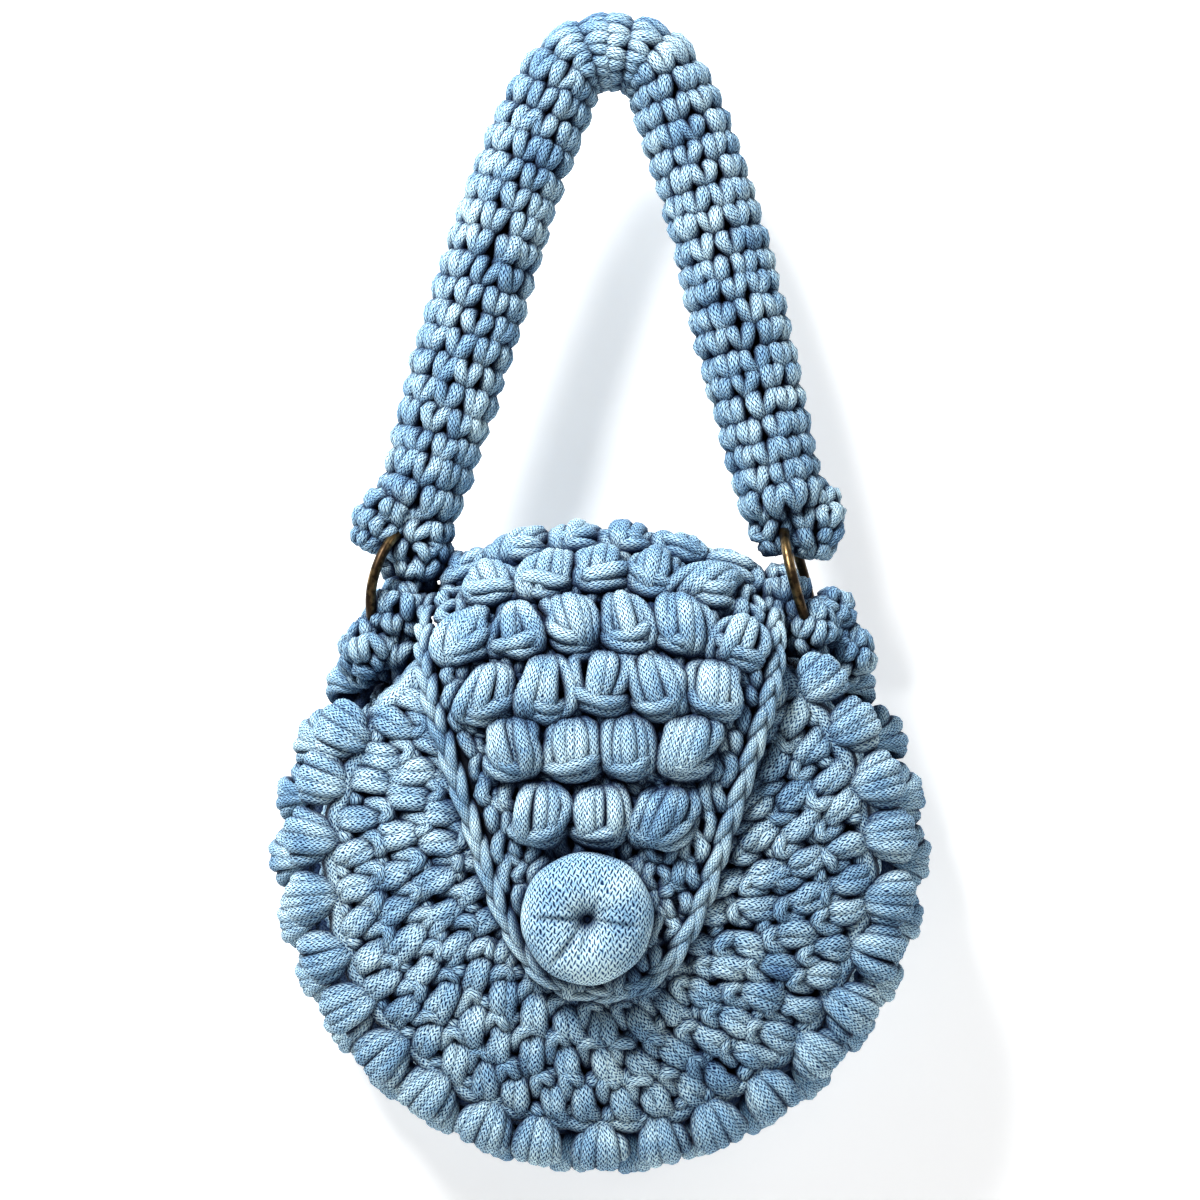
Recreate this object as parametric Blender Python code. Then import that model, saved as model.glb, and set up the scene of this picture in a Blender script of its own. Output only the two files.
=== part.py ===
"""A round crochet handbag of thick knitted cord, hung by its handle.

Two round panels are joined by a gusset, and a round of puff stitches runs along each panel's rim.
A tongue-shaped flap with rows of bobbles comes over the mouth from the back and carries a stuffed button.
Two metal rings join the crochet tabs on the gusset to the padded handle.

Metres, +Z up. The front faces -Y. The origin is where a peg holds the handle up, under its arch.
"""

import math

import bmesh
import bpy
from mathutils import Matrix, Vector

# Driving dimensions, in metres and degrees
CLEARANCE = 0.0003
PANEL_WALL = 0.007
FRONT_RADIUS = 0.0834
BACK_RADIUS = 0.0919
RIM_DEPTH = 0.044
FRONT_BULGE = 0.010
BACK_BULGE = 0.008
BODY_DROP = 0.2577
PUFF_RADIUS = 0.0093
PUFF_COUNT = 22
PUFF_START_ANGLE = 49.0
GUSSET_WALL = 0.006
MOUTH_HALF_ANGLE = 35.0
MOUTH_DIP = 0.006
MOUTH_LEAN = 0.004

FLAP_WALL = 0.007
FLAP_HALF_WIDTH = 0.0530
FLAP_TOP_RISE = 0.0132
FLAP_TIP_BELOW_CENTRE = 0.0393
FLAP_SPRING_ABOVE_CENTRE = 0.042
FLAP_ROOT_ABOVE_CENTRE = 0.066
FLAP_APEX_Y = 0.010
FLAP_STAND_OFF = 0.0004
BOBBLE_HEIGHT = 0.0085
BOBBLE_HALF_LENGTH = 0.0092
BOBBLE_PITCH = 0.0176
EDGING_RADIUS = 0.0028

BUTTON_RADIUS = 0.0208
BUTTON_HEIGHT = 0.0145
BUTTON_DIMPLE = 0.0040
BUTTON_X = -0.0040
BUTTON_BELOW_CENTRE = 0.0145

RING_RADIUS = 0.0183
RING_WIRE_RADIUS = 0.0017
RING_TILT = 15.0
RING_YAW_LEFT = 24.0
RING_YAW_RIGHT = 10.0
RING_PAST_TAB_ANGLE = 1.5
TAB_HALF_WIDTH = 0.0088
TAB_STEM = 0.0140
TAB_COVER = 0.0060
TAB_ANGLE = 41.5

HANDLE_HALF_WIDTH = 0.0122
HANDLE_HALF_DEPTH = 0.0098
HANDLE_HALF_SPAN = 0.0628
HANDLE_LEAN = 0.0045
HANDLE_END_LENGTH = 0.0135

# The bag hangs a little flatter than a circle.
BODY_SQUASH = 0.97
PUFF_NECK = 0.66
FLAP_STEPS = 34
# How much of a row's last stitch is left at the row's end.
ROW_END_SHARE = 0.6

# Shares of the handle's drop and half span, and of its two half thicknesses, from the arch down to a ring.
HANDLE_ROUTE = (
    # drop, span, width, depth
    (0.000, 0.000, 0.68, 1.14),
    (0.014, 0.170, 0.70, 1.12),
    (0.055, 0.272, 0.79, 1.08),
    (0.125, 0.350, 0.88, 1.03),
    (0.220, 0.440, 0.93, 1.00),
    (0.340, 0.543, 0.95, 1.00),
    (0.530, 0.676, 1.00, 1.00),
    (0.730, 0.810, 0.96, 1.00),
    (0.900, 0.922, 0.86, 1.00),
    (1.000, 1.000, 0.86, 1.00),
)
# Shares of the flap's length from root to tip, and of its half width.
FLAP_OUTLINE = (
    # along, half_width
    (0.000, 0.86),
    (0.120, 0.88),
    (0.230, 0.94),
    (0.330, 1.00),
    (0.440, 1.00),
    (0.530, 0.965),
    (0.610, 0.885),
    (0.690, 0.785),
    (0.760, 0.685),
    (0.830, 0.600),
    (0.900, 0.485),
    (0.960, 0.335),
    (0.990, 0.215),
    (1.000, 0.120),
)
# Rows of bobbles, from the back of the flap to its tip: share of the flap's length, how many, share of the pitch.
BOBBLE_ROWS = (
    # along, count, pitch
    (0.262, 6, 0.93),
    (0.358, 5, 0.96),
    (0.449, 6, 0.98),
    (0.541, 5, 1.02),
    (0.634, 4, 1.02),
    (0.734, 3, 1.10),
)

CENTRE_Z = -BODY_DROP
FRONT_RIM_Y = -RIM_DEPTH / 2
BACK_RIM_Y = RIM_DEPTH / 2

COTTON_BLUE = (0.33, 0.52, 0.68, 1.0)
ANTIQUE_BRASS = (0.23, 0.17, 0.09, 1.0)


def make_material(name, colour, roughness, metallic):
    material = bpy.data.materials.new(name)
    material.use_nodes = True
    shader = material.node_tree.nodes["Principled BSDF"]
    shader.inputs["Base Color"].default_value = colour
    shader.inputs["Roughness"].default_value = roughness
    shader.inputs["Metallic"].default_value = metallic
    return material


def add_mesh_object(name, bm, material, smooth=True):
    """One object from a bmesh, with its faces turned outwards."""
    bmesh.ops.recalc_face_normals(bm, faces=bm.faces)
    mesh = bpy.data.meshes.new(name)
    bm.to_mesh(mesh)
    bm.free()
    if smooth:
        mesh.shade_smooth()
    mesh.materials.append(material)
    obj = bpy.data.objects.new(name, mesh)
    bpy.context.scene.collection.objects.link(obj)
    return obj


def loft(name, sections, material):
    """A closed body through sections that all have the same number of points."""
    bm = bmesh.new()
    loops = [[bm.verts.new(point) for point in section] for section in sections]
    for first, second in zip(loops, loops[1:]):
        for i in range(len(first)):
            j = (i + 1) % len(first)
            bm.faces.new((first[i], first[j], second[j], second[i]))
    bm.faces.new(loops[0])
    bm.faces.new(loops[-1])
    return add_mesh_object(name, bm, material)


def sheet(name, grid, wall, material):
    """A wall of even thickness over a grid of points on its middle surface."""
    bm = bmesh.new()
    rows = [[bm.verts.new(point) for point in row] for row in grid]
    for first, second in zip(rows, rows[1:]):
        for i in range(len(first) - 1):
            bm.faces.new((first[i], first[i + 1], second[i + 1], second[i]))
    obj = add_mesh_object(name, bm, material)
    thicken(obj, wall)
    return obj


def thicken(obj, wall):
    solid = obj.modifiers.new("wall", "SOLIDIFY")
    solid.thickness = wall
    solid.offset = 0.0
    solid.use_even_offset = True


def catmull_rom(rows, place):
    """The row of numbers at a place between 0 and len(rows) - 1, on a smooth curve through the rows."""
    last = len(rows) - 1
    i = min(int(place), last - 1)
    t = place - i
    before, here, there, after = (rows[min(max(k, 0), last)] for k in (i - 1, i, i + 1, i + 2))
    return [
        0.5 * (2 * b + (c - a) * t + (2 * a - 5 * b + 4 * c - d) * t**2 + (3 * b - a - 3 * c + d) * t**3)
        for a, b, c, d in zip(before, here, there, after)
    ]


def read_table(rows, share):
    """The other columns of a table whose first column rises from 0 to 1, read smoothly at that share."""
    share = min(max(share, rows[0][0]), rows[-1][0])
    i = max(k for k in range(len(rows) - 1) if rows[k][0] <= share)
    t = (share - rows[i][0]) / (rows[i + 1][0] - rows[i][0])
    return catmull_rom(rows, i + t)[1:]


def smooth_step(t):
    t = min(max(t, 0.0), 1.0)
    return t * t * (3 - 2 * t)


# The body, in its own polar frame
def body_point(radius, angle, y):
    """A point at a radius and an angle from the top of the body, in degrees towards +X."""
    turn = math.radians(angle)
    return Vector((radius * math.sin(turn), y, CENTRE_Z + BODY_SQUASH * radius * math.cos(turn)))


def mouth_share(angle):
    """1 at the middle of the mouth, falling to 0 at its ends."""
    off_top = abs((angle + 180) % 360 - 180)
    return 1 - smooth_step(off_top / MOUTH_HALF_ANGLE)


def make_panel(name, radius, rim_y, bulge, outwards, material):
    """A domed disc of one wall. Its rim dips and leans inwards where the mouth is."""
    round_steps, dome_power = 48, 2.6
    shares = (0.0, 0.32, 0.58, 0.78, 0.91, 1.0)
    bm = bmesh.new()
    middle_y = rim_y - outwards * PANEL_WALL / 2
    centre = bm.verts.new((0, middle_y + outwards * bulge, CENTRE_Z))
    rings = []
    for share in shares[1:]:
        ring = []
        for i in range(round_steps):
            angle = 360 * i / round_steps
            mouth = mouth_share(angle)
            reach = (radius - MOUTH_DIP * mouth) * share
            edge_y = middle_y - outwards * MOUTH_LEAN * mouth
            y = edge_y + (middle_y + outwards * bulge - edge_y) * (1 - share**dome_power)
            ring.append(bm.verts.new(body_point(reach, angle, y)))
        rings.append(ring)
    for i in range(round_steps):
        j = (i + 1) % round_steps
        bm.faces.new((centre, rings[0][i], rings[0][j]))
        for inner, outer in zip(rings, rings[1:]):
            bm.faces.new((inner[i], outer[i], outer[j], inner[j]))
    panel = add_mesh_object(name, bm, material)
    thicken(panel, PANEL_WALL)
    return panel


def gusset_radius(y):
    """The gusset's outer radius, a cone from the front panel's rim to the back panel's."""
    return FRONT_RADIUS + (BACK_RADIUS - FRONT_RADIUS) * (y - FRONT_RIM_Y) / RIM_DEPTH


def make_gusset(material):
    """The band between the panels, from one side of the mouth down round the body to the other."""
    step = 3.0
    front = FRONT_RIM_Y + PANEL_WALL + CLEARANCE
    back = BACK_RIM_Y - PANEL_WALL - CLEARANCE
    steps = round((360 - 2 * MOUTH_HALF_ANGLE) / step)
    sections = []
    for i in range(steps + 1):
        angle = MOUTH_HALF_ANGLE + (360 - 2 * MOUTH_HALF_ANGLE) * i / steps
        corners = ((front, 0), (back, 0), (back, GUSSET_WALL), (front, GUSSET_WALL))
        sections.append([body_point(gusset_radius(y) - inwards, angle, y) for y, inwards in corners])
    return loft("gusset", sections, material)


def make_puff_round(name, panel_radius, y, shift, material):
    """A round of puff stitches along a panel's rim: a beaded tube with one bead for each stitch."""
    steps_per_puff, sides = 4, 8
    centre_radius = panel_radius + CLEARANCE + PUFF_RADIUS
    span = 360 - 2 * PUFF_START_ANGLE
    steps = PUFF_COUNT * steps_per_puff
    sections = []
    for i in range(steps + 1):
        angle = PUFF_START_ANGLE + shift + span * i / steps
        crown = abs(math.sin(math.pi * i / steps_per_puff))
        radius = PUFF_RADIUS * (PUFF_NECK + (1 - PUFF_NECK) * math.sqrt(crown))
        if i in (0, steps):
            radius *= ROW_END_SHARE
        section = []
        for k in range(sides):
            around = 2 * math.pi * k / sides
            section.append(
                body_point(centre_radius + radius * math.cos(around), angle, y + radius * math.sin(around))
            )
        sections.append(section)
    return loft(name, sections, material)


# The flap, as a surface of a length along it and a distance across it
def flap_profile():
    """(length along, y, z) down the middle of the flap, from its root on the back to its tip."""
    top = CENTRE_Z + BODY_SQUASH * (BACK_RADIUS - MOUTH_DIP) + FLAP_TOP_RISE + FLAP_WALL / 2
    spring = CENTRE_Z + FLAP_SPRING_ABOVE_CENTRE
    root = CENTRE_Z + FLAP_ROOT_ABOVE_CENTRE
    tip = CENTRE_Z - FLAP_TIP_BELOW_CENTRE
    beyond = FLAP_WALL / 2 + CLEARANCE
    front_y = FRONT_RIM_Y - FRONT_BULGE - FLAP_STAND_OFF - beyond
    back_y = BACK_RIM_Y + BACK_BULGE + beyond
    quarter_steps, down_steps, overshoot = 24, 24, 0.004
    back_squareness, front_squareness = 0.62, 0.80
    points = []
    start = math.asin((root - spring) / (top - spring))
    for i in range(quarter_steps):
        turn = start + (math.pi / 2 - start) * i / quarter_steps
        y = FLAP_APEX_Y + (back_y - FLAP_APEX_Y) * math.cos(turn) ** back_squareness
        points.append((y, spring + (top - spring) * math.sin(turn)))
    for i in range(quarter_steps):
        turn = math.pi / 2 * (1 - i / quarter_steps)
        y = FLAP_APEX_Y + (front_y - FLAP_APEX_Y) * math.cos(turn) ** front_squareness
        points.append((y, spring + (top - spring) * math.sin(turn)))
    for i in range(down_steps + 1):
        points.append((front_y, spring + (tip - spring) * i / down_steps))
    points.append((front_y, tip - overshoot))
    rows, along = [], 0.0
    for i, (y, z) in enumerate(points):
        if i:
            along += math.dist(points[i], points[i - 1])
        rows.append((along, y, z))
    return rows, rows[-2][0], spring, top


FLAP_ROWS, FLAP_LENGTH, FLAP_SPRING_Z, FLAP_TOP_Z = flap_profile()


def flap_point(along, across):
    """A point on the flap's middle surface."""
    along = min(max(along, 0.0), FLAP_ROWS[-1][0])
    i = max(k for k in range(len(FLAP_ROWS) - 1) if FLAP_ROWS[k][0] <= along)
    (a, ya, za), (b, yb, zb) = FLAP_ROWS[i], FLAP_ROWS[i + 1]
    t = (along - a) / (b - a)
    y, z = ya + (yb - ya) * t, za + (zb - za) * t
    over_the_top = min(max((z - FLAP_SPRING_Z) / (FLAP_TOP_Z - FLAP_SPRING_Z), 0.0), 1.0)
    crown_radius = BACK_RADIUS + FLAP_TOP_RISE
    fall = crown_radius - math.sqrt(crown_radius**2 - across**2)
    return Vector((across, y, z - over_the_top * fall))


def flap_normal(along, across):
    step = 0.001
    down = flap_point(along + step, across) - flap_point(along - step, across)
    side = flap_point(along, across + step) - flap_point(along, across - step)
    return down.cross(side).normalized()


def flap_half_width(along):
    return FLAP_HALF_WIDTH * read_table(FLAP_OUTLINE, along / FLAP_LENGTH)[0]


def make_flap(material):
    columns = 10
    grid = []
    for i in range(FLAP_STEPS + 1):
        along = FLAP_LENGTH * i / FLAP_STEPS
        half = flap_half_width(along)
        grid.append([flap_point(along, half * (2 * j / columns - 1)) for j in range(columns + 1)])
    return sheet("flap", grid, FLAP_WALL, material)


def make_bobble_row(number, share, count, pitch, material):
    """A row of bobbles that sits on the flap: D-shaped sections, fuller at each bobble than between them."""
    steps_per_bobble, arc_steps, neck = 4, 5, 0.62
    along = share * FLAP_LENGTH
    lift = FLAP_WALL / 2 + CLEARANCE
    width = BOBBLE_PITCH * pitch * count
    steps = steps_per_bobble * count
    sections = []
    for i in range(steps + 1):
        across = width * (i / steps - 0.5)
        crown = abs(math.sin(math.pi * i / steps_per_bobble))
        size = neck + (1 - neck) * math.sqrt(crown)
        if i in (0, steps):
            size *= ROW_END_SHARE
        foot, normal = flap_point(along, across), flap_normal(along, across)
        down = (flap_point(along + 0.001, across) - foot).normalized()
        section = []
        for k in range(arc_steps + 1):
            turn = math.pi * k / arc_steps
            section.append(
                foot
                + normal * (lift + size * BOBBLE_HEIGHT * math.sin(turn))
                + down * (size * BOBBLE_HALF_LENGTH * math.cos(turn))
            )
        sections.append(section)
    return loft(f"bobble_row_{number}", sections, material)


def offset_outline(outline, reach):
    """An open outline moved sideways, to its left, by the same reach at every edge."""
    moved = []
    for i, place in enumerate(outline):
        edges = [outline[k + 1] - outline[k] for k in (i - 1, i) if 0 <= k < len(outline) - 1]
        normals = [Vector((-edge.y, edge.x)).normalized() for edge in edges]
        mitre = (normals[0] + normals[-1]).normalized()
        moved.append(place + mitre * (reach / mitre.dot(normals[0])))
    return moved


def make_edging(material):
    """The chain of slip stitches round the flap's free edge."""
    sides = 5
    shares = [i / FLAP_STEPS for i in range(FLAP_STEPS + 1)]
    right = [Vector((FLAP_LENGTH * share, flap_half_width(FLAP_LENGTH * share))) for share in shares]
    left = [Vector((along, -across)) for along, across in reversed(right)]
    outline = offset_outline(right + left, EDGING_RADIUS + CLEARANCE)
    path = [flap_point(along, across) for along, across in outline]
    sections = []
    for i, point in enumerate(path):
        ahead = (path[min(i + 1, len(path) - 1)] - path[max(i - 1, 0)]).normalized()
        normal = flap_normal(max(outline[i].x, 0.002), outline[i].y)
        side = ahead.cross(normal).normalized()
        up = side.cross(ahead)
        turns = [2 * math.pi * k / sides for k in range(sides)]
        sections.append([point + EDGING_RADIUS * (side * math.cos(a) + up * math.sin(a)) for a in turns])
    return loft("flap_edging", sections, material)


def make_button(material):
    """A stuffed round button, gathered to a dimple in the middle of its face."""
    around = 20
    # share of radius, share of height
    profile = ((0.62, 0.0), (0.92, 0.14), (1.0, 0.40), (0.94, 0.68), (0.74, 0.92), (0.48, 1.0), (0.22, 0.92))
    foot = flap_point(FLAP_LENGTH * 0.85, BUTTON_X)
    base_y = foot.y - FLAP_WALL / 2 - CLEARANCE
    centre_z = CENTRE_Z - BUTTON_BELOW_CENTRE
    bm = bmesh.new()
    loops = []
    for radius_share, height_share in profile:
        radius, y = BUTTON_RADIUS * radius_share, base_y - BUTTON_HEIGHT * height_share
        turns = [2 * math.pi * k / around for k in range(around)]
        loops.append(
            [bm.verts.new((BUTTON_X + radius * math.cos(a), y, centre_z + radius * math.sin(a))) for a in turns]
        )
    dimple = bm.verts.new((BUTTON_X, base_y - BUTTON_HEIGHT + BUTTON_DIMPLE, centre_z))
    for first, second in zip(loops, loops[1:]):
        for i in range(around):
            j = (i + 1) % around
            bm.faces.new((first[i], first[j], second[j], second[i]))
    for i in range(around):
        bm.faces.new((loops[-1][i], loops[-1][(i + 1) % around], dimple))
    bm.faces.new(loops[0])
    return add_mesh_object("button", bm, material)


# The rings, and what holds them
def tab_wire_radius():
    """How far from the body's centre the wire of a ring lies inside its tab."""
    return gusset_radius(0) + CLEARANCE + TAB_STEM + RING_WIRE_RADIUS


def ring_matrix(side, yaw):
    """Where a ring hangs: its lowest wire in the tab, its top leaning with the handle. Side is -1 or 1."""
    tilt = math.radians(RING_TILT)
    bottom = body_point(tab_wire_radius(), side * (TAB_ANGLE + RING_PAST_TAB_ANGLE), 0)
    up = Vector((-side * math.sin(tilt), 0, math.cos(tilt)))
    centre = bottom + up * RING_RADIUS
    turn = (
        Matrix.Rotation(-side * tilt, 4, "Y")
        @ Matrix.Rotation(-math.radians(yaw), 4, "Z")
        @ Matrix.Rotation(math.pi / 2, 4, "Y")
    )
    return Matrix.Translation(centre) @ turn, bottom + up * 2 * RING_RADIUS


def make_ring(name, matrix, wire_radius, material):
    around, sides = 36, 6
    bm = bmesh.new()
    loops = []
    for i in range(around):
        turn = 2 * math.pi * i / around
        out = Vector((math.cos(turn), math.sin(turn), 0))
        loops.append(
            [
                bm.verts.new(
                    out * (RING_RADIUS + wire_radius * math.cos(2 * math.pi * k / sides))
                    + Vector((0, 0, wire_radius * math.sin(2 * math.pi * k / sides)))
                )
                for k in range(sides)
            ]
        )
    for i in range(around):
        first, second = loops[i], loops[(i + 1) % around]
        for k in range(sides):
            m = (k + 1) % sides
            bm.faces.new((first[k], first[m], second[m], second[k]))
    ring = add_mesh_object(name, bm, material)
    ring.matrix_world = matrix
    return ring


def cut_ring_way(obj, name, matrix):
    """Cuts the way of a ring's wire through a crochet piece, with the running clearance."""
    cutter = make_ring(name, matrix, RING_WIRE_RADIUS + CLEARANCE, obj.data.materials[0])
    cutter.hide_render = True
    cutter.display_type = "WIRE"
    cut = obj.modifiers.new("ring_way", "BOOLEAN")
    cut.operation = "DIFFERENCE"
    cut.solver = "EXACT"
    cut.object = cutter


def make_tab(name, side, material):
    """The crochet loop on the gusset that a ring hangs from."""
    around = 12
    half_depth = RIM_DEPTH / 2 - PANEL_WALL / 2 - PUFF_RADIUS - CLEARANCE
    # share of height, share of half width, share of half depth
    levels = (
        (0.0, 0.5, 0.5),
        (0.0, 0.94, 0.92),
        (0.25, 1.0, 1.0),
        (0.60, 1.0, 1.0),
        (0.84, 0.84, 0.88),
        (0.96, 0.55, 0.62),
        (1.0, 0.22, 0.25),
    )
    top = tab_wire_radius() + RING_WIRE_RADIUS + TAB_COVER
    sections = []
    for height, width, depth in levels:
        section = []
        for k in range(around):
            turn = 2 * math.pi * k / around
            y = half_depth * depth * math.sin(turn)
            across = TAB_HALF_WIDTH * width * math.cos(turn)
            foot = gusset_radius(y) + CLEARANCE
            radius = foot + (top - foot) * height
            section.append(body_point(radius, side * TAB_ANGLE + math.degrees(across / top), y))
        sections.append(section)
    return loft(name, sections, material)


def make_handle(ring_top, material):
    """The padded handle: an arch over the peg, flatter there, with a blunt loop round each ring."""
    steps_per_row, around, roundness = 2, 12, 0.85
    apex_z = HANDLE_HALF_WIDTH * HANDLE_ROUTE[0][2]
    drop = apex_z - ring_top.z
    left = [(-1, *row) for row in reversed(HANDLE_ROUTE[1:])]
    route = left + [(1, *row) for row in HANDLE_ROUTE]
    rows = [
        (side * span * HANDLE_HALF_SPAN + HANDLE_LEAN * (1 - share), apex_z - share * drop, width, depth)
        for side, share, span, width, depth in route
    ]
    steps = steps_per_row * (len(rows) - 1)
    stations = [catmull_rom(rows, i / steps_per_row) for i in range(steps + 1)]
    places = [Vector((x, 0, z)) for x, z, _, _ in stations]
    frames = []
    for i, place in enumerate(places):
        ahead = (places[min(i + 1, steps)] - places[max(i - 1, 0)]).normalized()
        frames.append((place, ahead, stations[i][2] * HANDLE_HALF_WIDTH, stations[i][3] * HANDLE_HALF_DEPTH))
    first, last = frames[0], frames[-1]
    # share of the end's length, share of the section that is left there
    rounding = ((0.35, 0.99), (0.68, 0.90), (0.90, 0.64), (1.0, 0.28))
    for reach, scale in rounding:
        out = HANDLE_END_LENGTH * reach
        frames.insert(0, (first[0] - first[1] * out, first[1], first[2] * scale, first[3] * scale))
        frames.append((last[0] + last[1] * out, last[1], last[2] * scale, last[3] * scale))
    sections = []
    for place, ahead, width, depth in frames:
        side = ahead.cross(Vector((0, 1, 0))).normalized()
        section = []
        for k in range(around):
            turn = 2 * math.pi * k / around
            c, s = math.cos(turn), math.sin(turn)
            section.append(
                place
                + side * (width * math.copysign(abs(c) ** roundness, c))
                + Vector((0, depth * math.copysign(abs(s) ** roundness, s), 0))
            )
        sections.append(section)
    return loft("handle", sections, material)


def main():
    for obj in list(bpy.data.objects):
        bpy.data.objects.remove(obj)
    cord = make_material("knitted_cord_blue", COTTON_BLUE, 0.85, 0.0)
    brass = make_material("antique_brass", ANTIQUE_BRASS, 0.38, 1.0)

    make_panel("front_panel", FRONT_RADIUS, FRONT_RIM_Y, FRONT_BULGE, -1, cord)
    make_panel("back_panel", BACK_RADIUS, BACK_RIM_Y, BACK_BULGE, 1, cord)
    make_gusset(cord)
    half_puff = (360 - 2 * PUFF_START_ANGLE) / PUFF_COUNT / 2
    make_puff_round("front_puff_round", FRONT_RADIUS, FRONT_RIM_Y + PANEL_WALL / 2, -half_puff, cord)
    make_puff_round("back_puff_round", BACK_RADIUS, BACK_RIM_Y - PANEL_WALL / 2, 0.0, cord)

    make_flap(cord)
    for number, (share, count, pitch) in enumerate(BOBBLE_ROWS, 1):
        make_bobble_row(number, share, count, pitch, cord)
    make_edging(cord)
    make_button(cord)

    right_matrix, ring_top = ring_matrix(1, RING_YAW_RIGHT)
    left_matrix, _ = ring_matrix(-1, RING_YAW_LEFT)
    handle = make_handle(ring_top, cord)
    for name, side, matrix in (("left", -1, left_matrix), ("right", 1, right_matrix)):
        make_ring(f"ring_{name}", matrix, RING_WIRE_RADIUS, brass)
        tab = make_tab(f"tab_{name}", side, cord)
        cut_ring_way(tab, f"tab_cutter_{name}", matrix)
        cut_ring_way(handle, f"handle_cutter_{name}", matrix)


main()
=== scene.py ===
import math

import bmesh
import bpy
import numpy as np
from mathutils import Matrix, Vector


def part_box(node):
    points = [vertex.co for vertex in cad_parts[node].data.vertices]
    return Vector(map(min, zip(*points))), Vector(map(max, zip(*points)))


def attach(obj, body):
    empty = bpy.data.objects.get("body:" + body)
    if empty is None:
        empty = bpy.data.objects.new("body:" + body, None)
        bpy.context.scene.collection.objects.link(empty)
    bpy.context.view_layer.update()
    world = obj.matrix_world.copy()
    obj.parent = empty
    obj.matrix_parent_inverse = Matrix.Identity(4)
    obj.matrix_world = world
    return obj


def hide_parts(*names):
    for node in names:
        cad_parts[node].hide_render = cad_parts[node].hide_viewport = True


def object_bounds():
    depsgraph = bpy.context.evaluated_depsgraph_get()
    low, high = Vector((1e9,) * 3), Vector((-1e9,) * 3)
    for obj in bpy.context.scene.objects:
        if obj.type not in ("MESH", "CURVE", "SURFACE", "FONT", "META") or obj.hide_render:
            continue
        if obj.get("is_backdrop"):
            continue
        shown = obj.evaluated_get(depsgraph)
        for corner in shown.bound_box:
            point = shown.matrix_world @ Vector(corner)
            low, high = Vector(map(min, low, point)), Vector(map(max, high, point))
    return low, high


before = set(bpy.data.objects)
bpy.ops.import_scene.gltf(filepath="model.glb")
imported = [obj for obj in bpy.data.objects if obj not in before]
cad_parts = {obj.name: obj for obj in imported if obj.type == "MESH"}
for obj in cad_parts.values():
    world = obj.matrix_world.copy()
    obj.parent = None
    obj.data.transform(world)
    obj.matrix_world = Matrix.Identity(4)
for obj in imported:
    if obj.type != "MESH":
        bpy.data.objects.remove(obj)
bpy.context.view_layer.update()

# %% [markdown]
# # A round crochet bag in thick knitted cord
#
# Crochet is one long cord pulled through itself, so the look of this bag is the look of its strands: fat,
# soft, knitted tubes that rise out of the fabric, bend over and dive back in.
# A bump map on a smooth bag could never throw the dark gaps between such strands.
# So every stitch is laid as real tubes, from a short table that says how its strands run,
# and the fine knit of the cord itself is left to the material.

dice = np.random.default_rng(11)

# %% [markdown]
# ## The sizes that everything follows
#
# The bag hangs from the origin, with its front towards -Y.
# Its body is measured from one centre: two domed discs, the band between them and the puff rounds.
# The cord's thickness is the second driving size, because each stitch is a few cords wide.

# %% Sizes of the cord and of the body
CORD_RADIUS = 0.0027
CORD_FLATNESS = 0.88
PANEL_WALL = 0.007
FRONT_RADIUS = 0.0834
BACK_RADIUS = 0.0919
RIM_DEPTH = 0.044
FRONT_BULGE = 0.010
BACK_BULGE = 0.008
DOME_POWER = 2.6
BODY_SQUASH = 0.97
PUFF_RADIUS = 0.0093
PUFF_COUNT = 22
PUFF_START_ANGLE = 49.0
MOUTH_HALF_ANGLE = 35.0
MOUTH_DIP = 0.006
MOUTH_LEAN = 0.004

panel_low, panel_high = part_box("front_panel")
CENTRE_Z = panel_low.z + (panel_high.x - panel_low.x) / 2 * BODY_SQUASH
print("middle of the body at z =", round(CENTRE_Z, 4))

# %% [markdown]
# Materials and meshes are started the same way all through, so a few short functions do it.
# A cord mesh carries its map along and round the cord, and two numbers at each point: the tone
# of its strand, and how high it lies above the fabric, from which the material paints shade.


# %% Start a material, a mesh and an object
def jitter(spread, shape=None):
    return dice.normal(0.0, spread, shape)


def columns(*parts):
    """Puts arrays side by side, such as the x, y and z of points."""
    return np.stack(parts, axis=-1)


def dial(node, settings):
    """Sets values on a node's own sockets."""
    for key, value in settings.items():
        node.inputs[key].default_value = value


def new_material(name):
    material = bpy.data.materials.new(name)
    material.use_nodes = True
    tree = material.node_tree
    return material, tree.nodes, tree.links, tree.nodes["Principled BSDF"]


def new_object(name, mesh, material):
    mesh.materials.append(material)
    made = bpy.data.objects.new(name, mesh)
    bpy.context.scene.collection.objects.link(made)
    return made


def cord_mesh(name, points, faces, maps=None, tones=None, lifts=None):
    mesh = bpy.data.meshes.new(name)
    mesh.from_pydata(points.reshape(-1, 3).tolist(), [], faces)
    layer = mesh.uv_layers.new(name="cord")
    if maps is not None:
        layer.data.foreach_set("uv", maps.ravel())
    for key, values in (("tone", tones), ("lift", lifts)):
        if values is not None:
            mesh.attributes.new(key, "FLOAT", "POINT").data.foreach_set("value", values.ravel())
    mesh.shade_smooth()
    return mesh


# %% [markdown]
# ## The camera, the wall and the light
#
# A bag photographed for a catalogue hangs close to a white wall, with a soft light at the upper left.
# The camera stands square to it, a little under a metre away.
# The wall is a plain sheet that is only solid from its front, so that the bag can be seen from behind too.

# %% Camera
PHOTO_WIDTH_AT_BAG = 0.396
CAMERA_DISTANCE = 0.90
CAMERA_Z = -0.1726

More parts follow.
